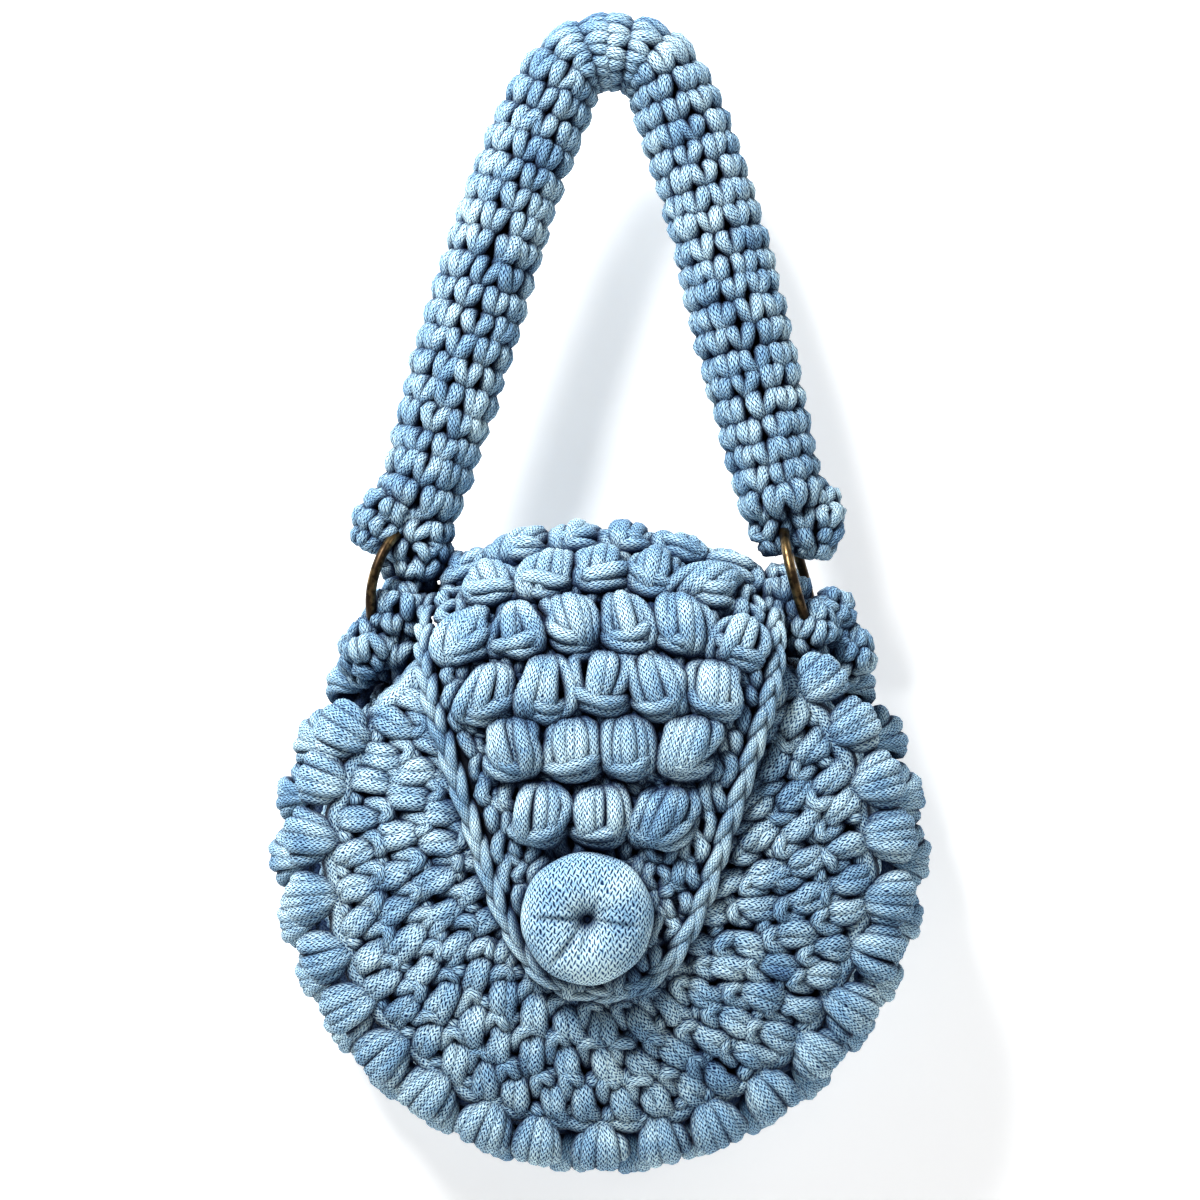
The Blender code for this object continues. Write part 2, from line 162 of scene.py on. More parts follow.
camera_data = bpy.data.cameras.new("camera")
camera_data.sensor_width = 36.0
camera_data.lens = camera_data.sensor_width * CAMERA_DISTANCE / PHOTO_WIDTH_AT_BAG
camera = bpy.data.objects.new("camera", camera_data)
camera.location = (0.0, -CAMERA_DISTANCE, CAMERA_Z)
camera.rotation_euler = (math.pi / 2, 0.0, 0.0)
bpy.context.scene.collection.objects.link(camera)
bpy.context.scene.camera = camera
bpy.context.scene.view_settings.view_transform = "Standard"
print("lens:", round(camera_data.lens, 1), "mm")


# %% Wall and floor
STAGE_GLOW = 0.50


def plain_sheet(name, corners, colour, one_sided):
    """A flat stage sheet. From behind, a one-sided sheet lets everything through."""
    mesh = bpy.data.meshes.new(name)
    mesh.from_pydata(corners, [], [(0, 1, 2, 3)])
    material, nodes, links, shader = new_material(name)
    dial(shader, {"Base Color": colour, "Roughness": 0.9, "Emission Color": colour})
    dial(shader, {"Emission Strength": STAGE_GLOW})
    if one_sided:
        side = nodes.new("ShaderNodeNewGeometry")
        clear = nodes.new("ShaderNodeBsdfTransparent")
        mix = nodes.new("ShaderNodeMixShader")
        links.new(side.outputs["Backfacing"], mix.inputs["Fac"])
        links.new(shader.outputs["BSDF"], mix.inputs[1])
        links.new(clear.outputs["BSDF"], mix.inputs[2])
        links.new(mix.outputs["Shader"], nodes["Material Output"].inputs["Surface"])
    new_object(name, mesh, material)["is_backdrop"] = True


WALL_Y = 0.048
FLOOR_Z = -1.60
REACH = 3.0


def corners(low):
    return [(-REACH, low), (REACH, low), (REACH, REACH), (-REACH, REACH)]


wall_corners = [(x, WALL_Y, z) for x, z in corners(FLOOR_Z)]
floor_corners = [(x, y, FLOOR_Z) for x, y in corners(-REACH)]
plain_sheet("wall", wall_corners, (0.93, 0.93, 0.93, 1.0), one_sided=True)
plain_sheet("floor", floor_corners, (0.90, 0.90, 0.90, 1.0), one_sided=False)
print("wall at y =", WALL_Y, "and floor at z =", FLOOR_Z)


# %% Lights
def soft_light(name, place, target, size, watts):
    """A round lamp of a size in metres, aimed at the target."""
    data = bpy.data.lights.new(name, "AREA")
    data.shape = "DISK"
    data.size = size
    data.energy = watts
    light = bpy.data.objects.new(name, data)
    light.location = place
    aim = Vector(target) - Vector(place)
    light.rotation_mode = "QUATERNION"
    light.rotation_quaternion = aim.to_track_quat("-Z", "Y")
    bpy.context.scene.collection.objects.link(light)


BAG_MIDDLE = (0.0, 0.0, -0.20)
soft_light("key", (-0.42, -0.62, 0.58), BAG_MIDDLE, 0.36, 25.0)
soft_light("fill", (1.20, -1.30, 0.90), BAG_MIDDLE, 1.6, 9.0)
soft_light("from_behind", (0.5, 1.6, 0.9), BAG_MIDDLE, 1.2, 10.0)
world = bpy.data.worlds.new("studio")
world.use_nodes = True
background = world.node_tree.nodes["Background"]
dial(background, {"Color": (1.0, 1.0, 1.0, 1.0), "Strength": 0.10})
bpy.context.scene.world = world
print("lights:", [lamp.name for lamp in bpy.data.lights])

# %% [markdown]
# ## The finish of the cord
#
# The cord is itself a knitted tube: columns of small loops run along it, and each loop leaves a dark hole
# between its legs. Each strand's mesh carries its own map, along the cord and round it,
# so two grids in that map place the holes in staggered rows, as knitting does.
# The yarn is heathered: the blue drifts from strand to strand and along each strand,
# and the crests of the loops are rubbed paler. That is a mix of noise in the object's own space.
# Deep between strands hardly any light arrives, so painted shade darkens points that lie low or closed in.


# %% Cord material
KNIT_COLUMNS = 12
KNIT_ROW = 0.0016
# how far the holes stray from their grid, how narrow, short and slanted they are
STRAY = 1.1
HOLE_NARROW = 5.4
HOLE_SHORT = 2.3
HOLE_SLANT = 0.45
# what lifts or lowers the blue: cloudy drift, fine flecks, the strand's own tone, and the holes
BASE_LEVEL = -0.01
DRIFT_SHARE = 0.75
FLECK_SHARE = 0.58
TONE_SHARE = 0.08
HOLE_SHARE = 0.82
# painted shade from other strands: from how far off they shade a point, and how steeply
GAP_REACH = 0.0075
GAP_POWER = 2.9
# painted shade by height, in cord radii: as dark as it gets, and in full light
SUNK_FROM = -1.0
SUNK_TO = 0.7
SUNK_LIGHT = 0.12


def knitted_cord(name, colours):
    """Knitted cord, its colours in order from the depth of a hole to the crest of a loop."""
    material, nodes, links, shader = new_material(name)
    dial(shader, {"Roughness": 0.85, "Sheen Weight": 0.03, "Specular IOR Level": 0.08})

    def node(kind, **settings):
        made = nodes.new(kind)
        for key, value in settings.items():
            setattr(made, key, value)
        return made

    def maths(operation, *values, clamp=False):
        made = node("ShaderNodeMath", operation=operation, use_clamp=clamp)
        for slot, value in enumerate(values):
            if isinstance(value, (int, float)):
                made.inputs[slot].default_value = value
            else:
                links.new(value, made.inputs[slot])
        return made.outputs[0]

    def noise(scale, detail):
        made = node("ShaderNodeTexNoise", noise_dimensions="3D")
        dial(made, {"Scale": scale, "Detail": detail})
        links.new(space.outputs["Object"], made.inputs["Vector"])
        return made.outputs["Fac"]

    space = node("ShaderNodeTexCoord")
    drift, patch, fleck = noise(70.0, 3.0), noise(420.0, 1.0), noise(1500.0, 2.0)
    place = node("ShaderNodeUVMap", uv_map="cord")
    split = node("ShaderNodeSeparateXYZ")
    links.new(place.outputs["UV"], split.inputs["Vector"])
    stray = maths("MULTIPLY_ADD", patch, STRAY, -STRAY / 2)
    along = maths("ADD", maths("MULTIPLY", split.outputs["X"], 1.0 / KNIT_ROW), stray)
    around = maths("MULTIPLY", split.outputs["Y"], float(KNIT_COLUMNS))
    around = maths("ADD", around, maths("MULTIPLY", stray, 0.6))

    def hole(shift, slant):
        across = maths("SUBTRACT", maths("FRACT", maths("ADD", around, shift)), 0.5)
        ahead = maths("SUBTRACT", maths("FRACT", maths("ADD", along, shift)), 0.5)
        slanted = maths("MULTIPLY_ADD", ahead, slant, across)
        wide = maths("POWER", maths("MULTIPLY", slanted, HOLE_NARROW), 2.0)
        tall = maths("POWER", maths("MULTIPLY", ahead, HOLE_SHORT), 2.0)
        return maths("SUBTRACT", 1.0, maths("POWER", maths("ADD", wide, tall), 0.8), clamp=True)

    holes = maths("MAXIMUM", hole(0.0, HOLE_SLANT), hole(0.5, -HOLE_SLANT))
    depth = maths("MULTIPLY", holes, maths("MULTIPLY_ADD", fleck, 1.5, 0.30), clamp=True)

    tone = node("ShaderNodeAttribute", attribute_name="tone")
    level = maths("MULTIPLY_ADD", drift, DRIFT_SHARE, BASE_LEVEL)
    level = maths("MULTIPLY_ADD", fleck, FLECK_SHARE, level)
    level = maths("MULTIPLY_ADD", tone.outputs["Fac"], TONE_SHARE, level)
    level = maths("MULTIPLY_ADD", depth, -HOLE_SHARE, level)
    ramp = node("ShaderNodeValToRGB")
    ramp.color_ramp.elements[0].position = 0.0
    ramp.color_ramp.elements[1].position = 0.85
    for position in (0.28, 0.55):
        ramp.color_ramp.elements.new(position)
    for stop, colour in zip(ramp.color_ramp.elements, colours):
        stop.color = (*colour, 1.0)
    links.new(level, ramp.inputs["Fac"])

    # Painted shade: the colour is mixed towards the darkest blue where a point lies low on its strand and
    # where other strands close it in.
    rise = node("ShaderNodeAttribute", attribute_name="lift")
    height_shade = node("ShaderNodeMapRange", interpolation_type="SMOOTHSTEP")
    dial(height_shade, {"From Min": SUNK_FROM, "From Max": SUNK_TO, "To Min": SUNK_LIGHT})
    links.new(rise.outputs["Fac"], height_shade.inputs["Value"])
    occlusion_shade = node("ShaderNodeAmbientOcclusion", samples=6)
    dial(occlusion_shade, {"Distance": GAP_REACH})
    open_share = maths("POWER", occlusion_shade.outputs["AO"], GAP_POWER)
    light_share = maths("MULTIPLY", open_share, height_shade.outputs["Result"])
    gap_shade = node("ShaderNodeMix", data_type="RGBA")
    links.new(light_share, gap_shade.inputs["Factor"])
    dial(gap_shade, {"A": (*colours[0], 1.0)})
    links.new(ramp.outputs["Color"], gap_shade.inputs["B"])
    links.new(gap_shade.outputs["Result"], shader.inputs["Base Color"])

    relief = node("ShaderNodeBump")
    dial(relief, {"Strength": 0.7, "Distance": 0.0005})
    links.new(maths("SUBTRACT", maths("MULTIPLY", fleck, 0.5), depth), relief.inputs["Height"])
    links.new(relief.outputs["Normal"], shader.inputs["Normal"])
    return material


BLUES = ((0.004, 0.014, 0.050), (0.055, 0.130, 0.290), (0.230, 0.430, 0.620), (0.700, 0.920, 0.960))
# The walls and cores inside the fabric take the same blues darkened, as painted shade.
SHADE = 0.40
SHADED_BLUES = tuple(tuple(part * SHADE for part in colour) for colour in BLUES)
CORD_BLUE = knitted_cord("knitted_cord_blue", BLUES)
CORD_SHADE = knitted_cord("knitted_cord_painted_shade", SHADED_BLUES)
print("cord materials:", CORD_BLUE.name, CORD_SHADE.name)

# %% [markdown]
# ## Laying strands
#
# A strand is a tube swept along a smooth curve. Blender's curve objects could do this one by one,
# but a bag has thousands of strands. Here numpy sweeps all strands of one kind at once,
# and each piece of the bag becomes one joined mesh.
# A ring of points is carried along each path without twisting, and the tube is a little flat, as cord is.


# %% Smooth curves and tubes
def smooth(rows, count):
    """Points on smooth curves through rows of numbers. rows is curves x points x columns."""
    last = rows.shape[1] - 1
    place = np.linspace(0.0, last, count)
    start = np.minimum(place.astype(int), last - 1)
    t = (place - start)[None, :, None]
    before = rows[:, np.maximum(start - 1, 0)]
    here = rows[:, start]
    there = rows[:, start + 1]
    after = rows[:, np.minimum(start + 2, last)]
    bend = (2 * before - 5 * here + 4 * there - after) * t**2
    return 0.5 * (2 * here + (there - before) * t + bend + (3 * here - before - 3 * there + after) * t**3)


def unit(vectors):
    return vectors / np.maximum(np.linalg.norm(vectors, axis=-1, keepdims=True), 1e-12)


class Skein:
    """Gathers the strands of one piece and makes them one mesh."""

    def __init__(self):
        self.points, self.quads, self.caps = [], [], []
        self.maps, self.tones, self.lifts = [], [], []
        self.count = 0
        self.strands = 0

    def lay(self, paths, radii, out, lift=0.0, sides=8, tone=None):
        """Adds tubes along paths (strands x points x 3).

        out is the way the surface faces at each point; lift, how high the path is above it, sets painted
        shade.
        """
        many, steps, _ = paths.shape
        radii = np.broadcast_to(radii, (many, steps))
        ahead = unit(np.gradient(paths, axis=1))
        chord = paths[:, -1] - paths[:, 0]
        up = unit(np.cross(np.cross(chord, out[:, steps // 2]), ahead[:, 0]))
        rings = np.empty((many, steps, sides, 3))
        turn = 2 * np.pi * np.arange(sides) / sides
        for i in range(steps):
            up = unit(up - ahead[:, i] * np.sum(up * ahead[:, i], axis=1, keepdims=True))
            across = np.cross(ahead[:, i], up)
            ring = across[:, None] * np.cos(turn)[None, :, None]
            ring = ring + up[:, None] * (CORD_FLATNESS * np.sin(turn))[None, :, None]
            rings[:, i] = paths[:, i, None] + ring * radii[:, i, None, None]
        hops = np.linalg.norm(np.diff(paths, axis=1), axis=2)
        run = np.cumsum(np.pad(hops, ((0, 0), (1, 0))), axis=1) + dice.random((many, 1))
        index = self.count + np.arange(many * steps * sides).reshape(many, steps, sides)
        after = np.roll(index, -1, axis=2)
        quads = columns(index[:, :-1], index[:, 1:], after[:, 1:], after[:, :-1])
        self.quads.append(quads.reshape(-1, 4))
        share = np.arange(sides + 1) / sides
        u0 = np.broadcast_to(run[:, :-1, None], (many, steps - 1, sides))
        u1 = np.broadcast_to(run[:, 1:, None], (many, steps - 1, sides))
        v0 = np.broadcast_to(share[:-1], (many, steps - 1, sides))
        v1 = np.broadcast_to(share[1:], (many, steps - 1, sides))
        corners = [columns(u, v) for u, v in ((u0, v0), (u1, v0), (u1, v1), (u0, v1))]
        self.maps.append(np.stack(corners, axis=-2).reshape(-1, 2))
        self.caps += [index[:, 0], index[:, -1, ::-1]]
        out = np.broadcast_to(out, paths.shape)
        rise = np.sum((rings - paths[:, :, None]) * out[:, :, None], axis=-1)
        rise = rise + np.broadcast_to(lift, (many, steps))[..., None]
        self.lifts.append(rise.ravel() / CORD_RADIUS)
        self.points.append(rings.reshape(-1, 3))
        if tone is None:
            tone = jitter(0.35, many)
        self.tones.append(np.repeat(np.broadcast_to(tone, (many,)), steps * sides))
        self.count += many * steps * sides
        self.strands += many

    def make(self, name, material):
        faces = np.concatenate(self.quads).tolist()
        for ends in self.caps:
            faces += ends.tolist()
        cap_maps = np.zeros((sum(ends.size for ends in self.caps), 2))
        maps = np.concatenate(self.maps + [cap_maps])
        tones, lifts = np.concatenate(self.tones), np.concatenate(self.lifts)
        mesh = cord_mesh(name, np.concatenate(self.points), faces, maps, tones, lifts)
        piece = new_object(name, mesh, material)
        triangles = sum(len(face) - 2 for face in faces)
        print(f"{name}: {self.strands} strands, {triangles} triangles")
        return piece


def hand_over(piece, *nodes, slot="knitted_cord"):
    """The piece rides with the bag and stands for these solids."""
    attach(piece, "root")
    if nodes:
        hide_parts(*nodes)


# %% [markdown]
# ## Stitches on a surface
#
# A stitch is worked into a cell of the fabric. Its table says where each strand runs in that cell:
# across it, along it, and how high above the fabric, counted in cord radii.
# The same table then serves on a disc, a band, a flap or a handle, once each of them is a function
# that turns two numbers into a place. Small random shifts keep the stitches from looking stamped.


# %% Placing cells of stitches
def place_on(surface, u, v, height):
    """Points above a surface, and the way that it faces there."""
    probe = 1e-4
    here = surface(u, v)
    out = unit(np.cross(surface(u + probe / surface.grain, v) - here, surface(u, v + probe) - here))
    out = out * surface.facing
    return here + out * height[..., None], out


def work(skein, surface, cells, strands, radius=CORD_RADIUS, wobble=0.05, points=11, sides=8):
    """Lays each strand of a stitch in every cell. A cell is (u, v, width, length, lean)."""
    cells = np.asarray(cells, float)
    many = len(cells)
    tone = jitter(0.35, many)
    for table in strands:
        rows = np.repeat(np.asarray(table, float)[None], many, axis=0)
        shift = jitter(wobble, (many, rows.shape[1], 3))
        rows[..., :2] += shift[..., :2] * 0.8
        rows[..., 2] += shift[..., 2] * 2.0
        rows[..., 3] *= 1 + jitter(0.05, (many, 1))
        rows = smooth(rows, points)
        across, along, height, thick = (rows[..., k] for k in range(4))
        lean = cells[:, 4, None]
        u = cells[:, 0, None] + (across + lean * along) * cells[:, 2, None]
        v = cells[:, 1, None] + along * cells[:, 3, None]
        paths, out = place_on(surface, u, v, height * radius)
        drift = jitter(0.2, many)
        skein.lay(paths, thick * radius, out, lift=height * radius, sides=sides, tone=tone + drift)


def as_surface(grain, facing):
    """Marks a function as a surface: how many metres one unit of u is, and which way it faces."""

    def mark(function):
        function.grain = grain
        function.facing = facing
        return function

    return mark


# %% [markdown]
# ## The two panels
#
# Each panel is worked in rounds from its middle, and bulges a little, because a full bag does.
# The front of each round shows fat hooked strands side by side with a small knot between them.
# A panel could be a displaced disc, but its strands overhang, so they are laid one by one.


# %% Surfaces of the panels
def mouth_share(turn):
    """1 at the middle of the mouth, falling to 0 at its ends."""
    off_top = np.abs((turn + 180.0) % 360.0 - 180.0)
    t = np.clip(off_top / MOUTH_HALF_ANGLE, 0.0, 1.0)
    return 1.0 - t * t * (3.0 - 2.0 * t)


def panel_surface(radius, rim_y, bulge, outwards, facing):
    """The outer face of a panel, by the turn from its top in degrees and the reach from its middle."""

    @as_surface(grain=math.radians(1.0) * radius, facing=facing)
    def surface(turn, reach):
        share = np.clip(reach / radius, 0.0, 1.2)
        mouth = mouth_share(turn)
        edge_y = rim_y - outwards * MOUTH_LEAN * mouth
        y = edge_y + (rim_y + outwards * bulge - edge_y) * (1.0 - share**DOME_POWER)
        real = (radius - MOUTH_DIP * mouth) * share
        angle = np.radians(turn)
        return columns(real * np.sin(angle), y, CENTRE_Z + BODY_SQUASH * real * np.cos(angle))

    return surface


front_face = panel_surface(FRONT_RADIUS, -RIM_DEPTH / 2, FRONT_BULGE, -1, 1)
back_face = panel_surface(BACK_RADIUS, RIM_DEPTH / 2, BACK_BULGE, 1, -1)
print("middle of the front panel:", front_face(0.0, 0.0).round(4).tolist())

# %% The round stitch
# across, along, height in cord radii, thickness in cord radii
# The cord lies folded in the fat limb, so two plies of it show side by side.
FIRST_PLY = (
    (0.20, -0.04, -0.9, 0.72),
    (0.04, 0.03, 0.35, 0.94),
    (-0.09, 0.25, 0.85, 1.08),
    (-0.14, 0.52, 0.95, 1.12),
    (-0.24, 0.80, 0.50, 1.02),
    (-0.42, 0.98, -0.2, 0.84),
    (-0.58, 1.02, -1.3, 0.66),
)
SECOND_PLY = (
    (0.32, 0.04, -0.9, 0.68),
    (0.18, 0.15, 0.40, 0.94),
    (0.12, 0.40, 0.88, 1.08),
    (0.08, 0.68, 0.80, 1.10),
    (-0.03, 0.92, 0.25, 0.98),
    (-0.22, 1.08, -0.5, 0.80),
    (-0.38, 1.12, -1.3, 0.66),
)
HOOK = (
    (-0.02, 0.16, -0.1, 0.78),
    (0.12, -0.10, 0.80, 0.92),
    (0.36, -0.14, 0.95, 0.96),
    (0.51, 0.06, 0.75, 0.94),
    (0.52, 0.34, 0.35, 0.92),
    (0.46, 0.60, -0.9, 0.72),
)
KNOT = (
    (0.22, 0.64, -0.7, 0.68),
    (0.34, 0.70, 0.40, 0.88),
    (0.54, 0.78, 0.50, 0.92),
    (0.70, 0.94, -0.7, 0.68),
)
UNDER_BAR = (
    (-0.60, 0.92, -1.5, 0.90),
    (-0.20, 1.00, -1.1, 1.05),
    (0.20, 0.90, -1.1, 1.05),
    (0.60, 1.00, -1.5, 0.90),
)
ROUND_STITCH = (FIRST_PLY, SECOND_PLY, HOOK, KNOT, UNDER_BAR)


ROW_OVERLAP = 1.04


def round_cells(radius, first_reach, pitch, width):
    """Cells of the rounds of a disc, each round with as many stitches as fit."""
    cells = []
    reach, number = first_reach, 0
    while reach + pitch * 0.6 < radius:
        in_round = max(5, round(2 * math.pi * (reach + pitch / 2) / width))
        step = 360.0 / in_round
        for k in range(in_round):
            turn = step * (k + 0.5 * (number % 2)) + jitter(step * 0.05)
            height = reach + jitter(0.0007)
            cells.append((turn, height, step, pitch * ROW_OVERLAP, dice.normal(ROUND_LEAN, 0.12)))
        reach, number = reach + pitch, number + 1
    return cells


FIRST_ROUND = 0.0058
ROUND_PITCH = 0.0133
STITCH_WIDTH = 0.0114
ROUND_LEAN = -0.22
PANEL_CORD = 0.0030
for name, face, radius in (("front", front_face, FRONT_RADIUS), ("back", back_face, BACK_RADIUS)):
    skein = Skein()
    cells = round_cells(radius, FIRST_ROUND, ROUND_PITCH, STITCH_WIDTH)
    work(skein, face, cells, ROUND_STITCH, radius=PANEL_CORD, wobble=0.06, points=11, sides=9)
    hand_over(skein.make(f"{name}_panel_stitches", CORD_BLUE), f"{name}_panel")

# %% [markdown]
# ## Puff stitches on the rims
#
# A puff is several long loops pulled up through one hole and closed together, so it is a fan:
# all strands start in one point at its inner end, spread over the puff's back and are tied off behind.
# Each fan is wrapped round the oval section of the rim.

# %% Puff rounds
PUFF_STRANDS = 5
PUFF_HALF_REACH = 0.0080
PUFF_HALF_DEPTH = 0.0068
PUFF_FAN_SHARE = 0.335
PUFF_OVERLAP = 0.0004
PUFF_SKEW = 0.28
PUFF_ROUNDING = 0.50
# every other strand of a fan lies a little higher
PUFF_STAGGER = 0.04 * np.where(np.arange(PUFF_STRANDS) % 2, 1.0, -1.0)[:, None]
# two plain strands close the seam behind the fans: reach past the panel, depth below its face
SEAM_STRANDS = ((0.0020, -0.0004), (0.0030, 0.0050))
SEAM_RADIUS = 0.0036
SEAM_STEPS = 240
SEAM_PAST_ENDS = 8.0
# share of the way round the oval, share of the fan's width, share of the oval, thickness in cord radii
PUFF_FAN = (
    (0.02, 0.06, 1.00, 0.62),
    (0.07, 0.16, 1.16, 0.82),
    (0.13, 0.48, 1.14, 0.96),
    (0.22, 0.84, 1.08, 1.08),
    (0.32, 1.04, 1.05, 1.14),
    (0.43, 1.05, 1.04, 1.12),
    (0.55, 0.80, 1.00, 1.00),
    (0.70, 0.36, 0.95, 0.86),
    (0.85, 0.10, 0.75, 0.62),
)


def puff_round(name, panel_radius, y_middle, front_side, shift):
    """A round of puffs. front_side is -1 where the fans start on the front, 1 where on the back."""
    skein = Skein()
    span = 360.0 - 2 * PUFF_START_ANGLE
    ring_radius = panel_radius + PUFF_RADIUS - PUFF_OVERLAP
    fan_half_width = PUFF_FAN_SHARE * math.radians(span) * ring_radius / PUFF_COUNT
    table = np.asarray(PUFF_FAN)
    for number in range(PUFF_COUNT):
        degrees = PUFF_START_ANGLE + shift + span * (number + 0.5) / PUFF_COUNT + jitter(0.5)
        turn = math.radians(degrees)
        out = np.array([math.sin(turn), 0.0, BODY_SQUASH * math.cos(turn)])
        side = np.array([math.cos(turn), 0.0, -math.sin(turn)])
        middle = np.array([0.0, y_middle, CENTRE_Z]) + out * ring_radius
        size = 1.0 + jitter(0.05)
        fan = np.linspace(-1.0, 1.0, PUFF_STRANDS) + jitter(0.09, PUFF_STRANDS)
        rows = np.repeat(table[None], PUFF_STRANDS, axis=0)
        rows[..., 0] += jitter(0.012, rows.shape[:2])
        rows[..., 1] += jitter(0.04, rows.shape[:2])
        rows[..., 2] += jitter(0.02, rows.shape[:2]) + PUFF_STAGGER
        rows = smooth(rows, 17)
        angle = rows[..., 0] * 2 * np.pi
        dome = np.sqrt(np.clip(1.0 - PUFF_ROUNDING * fan[:, None] ** 2, 0.1, 1.0))
        skew = jitter(PUFF_SKEW)
        swell = rows[..., 2] * dome * size
        reach = -np.cos(angle) * PUFF_HALF_REACH * swell
        depth = np.sin(angle) * PUFF_HALF_DEPTH * swell * front_side
        sideways = rows[..., 1] * fan[:, None] + skew * (rows[..., 0] - 0.3)
        sideways = sideways * fan_half_width * size
        paths = middle + reach[..., None] * out + sideways[..., None] * side
        paths[..., 1] += depth
        away = unit(paths - middle)
        tone = jitter(0.25) + jitter(0.25, PUFF_STRANDS)
        skein.lay(paths, rows[..., 3] * CORD_RADIUS, away, sides=9, tone=tone)
    start = PUFF_START_ANGLE - SEAM_PAST_ENDS
    turn = np.radians(np.linspace(start, 360.0 - start, SEAM_STEPS))
    away = np.array([0.0, front_side, 0.0]) * np.ones((1, SEAM_STEPS, 1))
    for reach, inwards in SEAM_STRANDS:
        radius = panel_radius + reach + 0.0006 * np.sin(turn * 40)
        y = np.full(SEAM_STEPS, y_middle + front_side * (PANEL_WALL / 2 - inwards))
        z = CENTRE_Z + BODY_SQUASH * radius * np.cos(turn)
        # the seam strands are handed a height just under the fabric, so painted shade darkens them a little
        skein.lay(columns(radius * np.sin(turn), y, z)[None], SEAM_RADIUS, away, lift=-0.0004)
    hand_over(skein.make(f"{name}_puffs", CORD_BLUE), f"{name}_puff_round")


half_puff = (360.0 - 2 * PUFF_START_ANGLE) / PUFF_COUNT / 2
puff_round("front", FRONT_RADIUS, -RIM_DEPTH / 2 + PANEL_WALL / 2, -1, -half_puff)
puff_round("back", BACK_RADIUS, RIM_DEPTH / 2 - PANEL_WALL / 2, 1, 0.0)

# %% [markdown]
# ## The gusset
#
# The band between the panels is plain rows of the same stitch, worked along the rim.
# It shows from the side, between the two rounds of puffs, and stops at the tabs, where the mouth begins.


# %% Gusset rows
@as_surface(grain=math.radians(1.0) * FRONT_RADIUS, facing=1)
def gusset_face(turn, y):
    radius = FRONT_RADIUS + (BACK_RADIUS - FRONT_RADIUS) * (y + RIM_DEPTH / 2) / RIM_DEPTH
    angle = np.radians(turn)
    return columns(radius * np.sin(angle), y, CENTRE_Z + BODY_SQUASH * radius * np.cos(angle))


GUSSET_ROWS = 3
GUSSET_ROW_WIDTH = 0.0098
GUSSET_STITCH_WIDTH = 0.0105
GUSSET_CORD = 0.0026
gusset_span = 360.0 - 2 * MOUTH_HALF_ANGLE
gusset_count = round(math.radians(gusset_span) * FRONT_RADIUS / GUSSET_STITCH_WIDTH)
skein = Skein()
cells = []
for row in range(GUSSET_ROWS):
    y = (row - GUSSET_ROWS / 2) * GUSSET_ROW_WIDTH
    for k in range(gusset_count):
        turn = MOUTH_HALF_ANGLE + gusset_span * (k + 0.5) / gusset_count
        cells.append((turn, y, gusset_span / gusset_count, GUSSET_ROW_WIDTH * 1.05, 0.05))
work(skein, gusset_face, cells, ROUND_STITCH, radius=GUSSET_CORD, points=11, sides=7)
hand_over(skein.make("gusset_stitches", CORD_BLUE), "gusset")

# %% [markdown]
# ## The flap
#
# The flap grows out of the back panel, goes over the mouth and hangs down the front like a tongue.
# Its middle line is two quarter ovals and a straight drop, and its width follows a short table.
# Plain stitches make its ground. Bobbles stand on it in rows, staggered like bricks.

# %% Surface of the flap
FLAP_WALL = 0.007
FLAP_HALF_WIDTH = 0.0530
FLAP_TOP_RISE = 0.0132
FLAP_TIP_BELOW_CENTRE = 0.0393
FLAP_SPRING_ABOVE_CENTRE = 0.042
FLAP_ROOT_ABOVE_CENTRE = 0.066
FLAP_APEX_Y = 0.010
GAP = 0.0003
FLAP_STAND_OFF = 0.0004
# along, half width, as shares of the flap's length and half width
FLAP_OUTLINE = (
    (0.000, 0.86),
    (0.120, 0.88),
    (0.230, 0.94),
    (0.330, 1.00),
    (0.440, 1.00),
    (0.530, 0.965),
    (0.610, 0.885),
    (0.690, 0.785),
    (0.760, 0.685),
    (0.830, 0.600),
    (0.900, 0.485),
    (0.960, 0.335),
    (0.990, 0.215),
    (1.000, 0.120),
)


def flap_profile():
    """Length along the flap, y and z, down its middle from the root on the back to the tip."""
    top = CENTRE_Z + BODY_SQUASH * (BACK_RADIUS - MOUTH_DIP) + FLAP_TOP_RISE + FLAP_WALL / 2
    spring = CENTRE_Z + FLAP_SPRING_ABOVE_CENTRE
    root = CENTRE_Z + FLAP_ROOT_ABOVE_CENTRE
    tip = CENTRE_Z - FLAP_TIP_BELOW_CENTRE
    beyond = FLAP_WALL / 2 + GAP
    front_y = -RIM_DEPTH / 2 - FRONT_BULGE - FLAP_STAND_OFF - beyond
    back_y = RIM_DEPTH / 2 + BACK_BULGE + beyond
    rise = np.linspace(math.asin((root - spring) / (top - spring)), math.pi / 2, 40)[:-1]
    fall = np.linspace(math.pi / 2, 0.0, 40)
    y = np.concatenate(
        [
            FLAP_APEX_Y + (back_y - FLAP_APEX_Y) * np.cos(rise) ** 0.62,
            FLAP_APEX_Y + (front_y - FLAP_APEX_Y) * np.cos(fall) ** 0.80,
            np.full(12, front_y),
        ]
    )
    turns = np.concatenate([rise, fall])
    z = np.concatenate([spring + (top - spring) * np.sin(turns), np.linspace(spring, tip - 0.006, 13)[1:]])
    along = np.concatenate([[0.0], np.cumsum(np.hypot(np.diff(y), np.diff(z)))])
    return along, y, z, float(np.interp(-tip, -z[40:], along[40:])), spring, top


FLAP_ALONG, FLAP_Y, FLAP_Z, FLAP_LENGTH, FLAP_SPRING_Z, FLAP_TOP_Z = flap_profile()


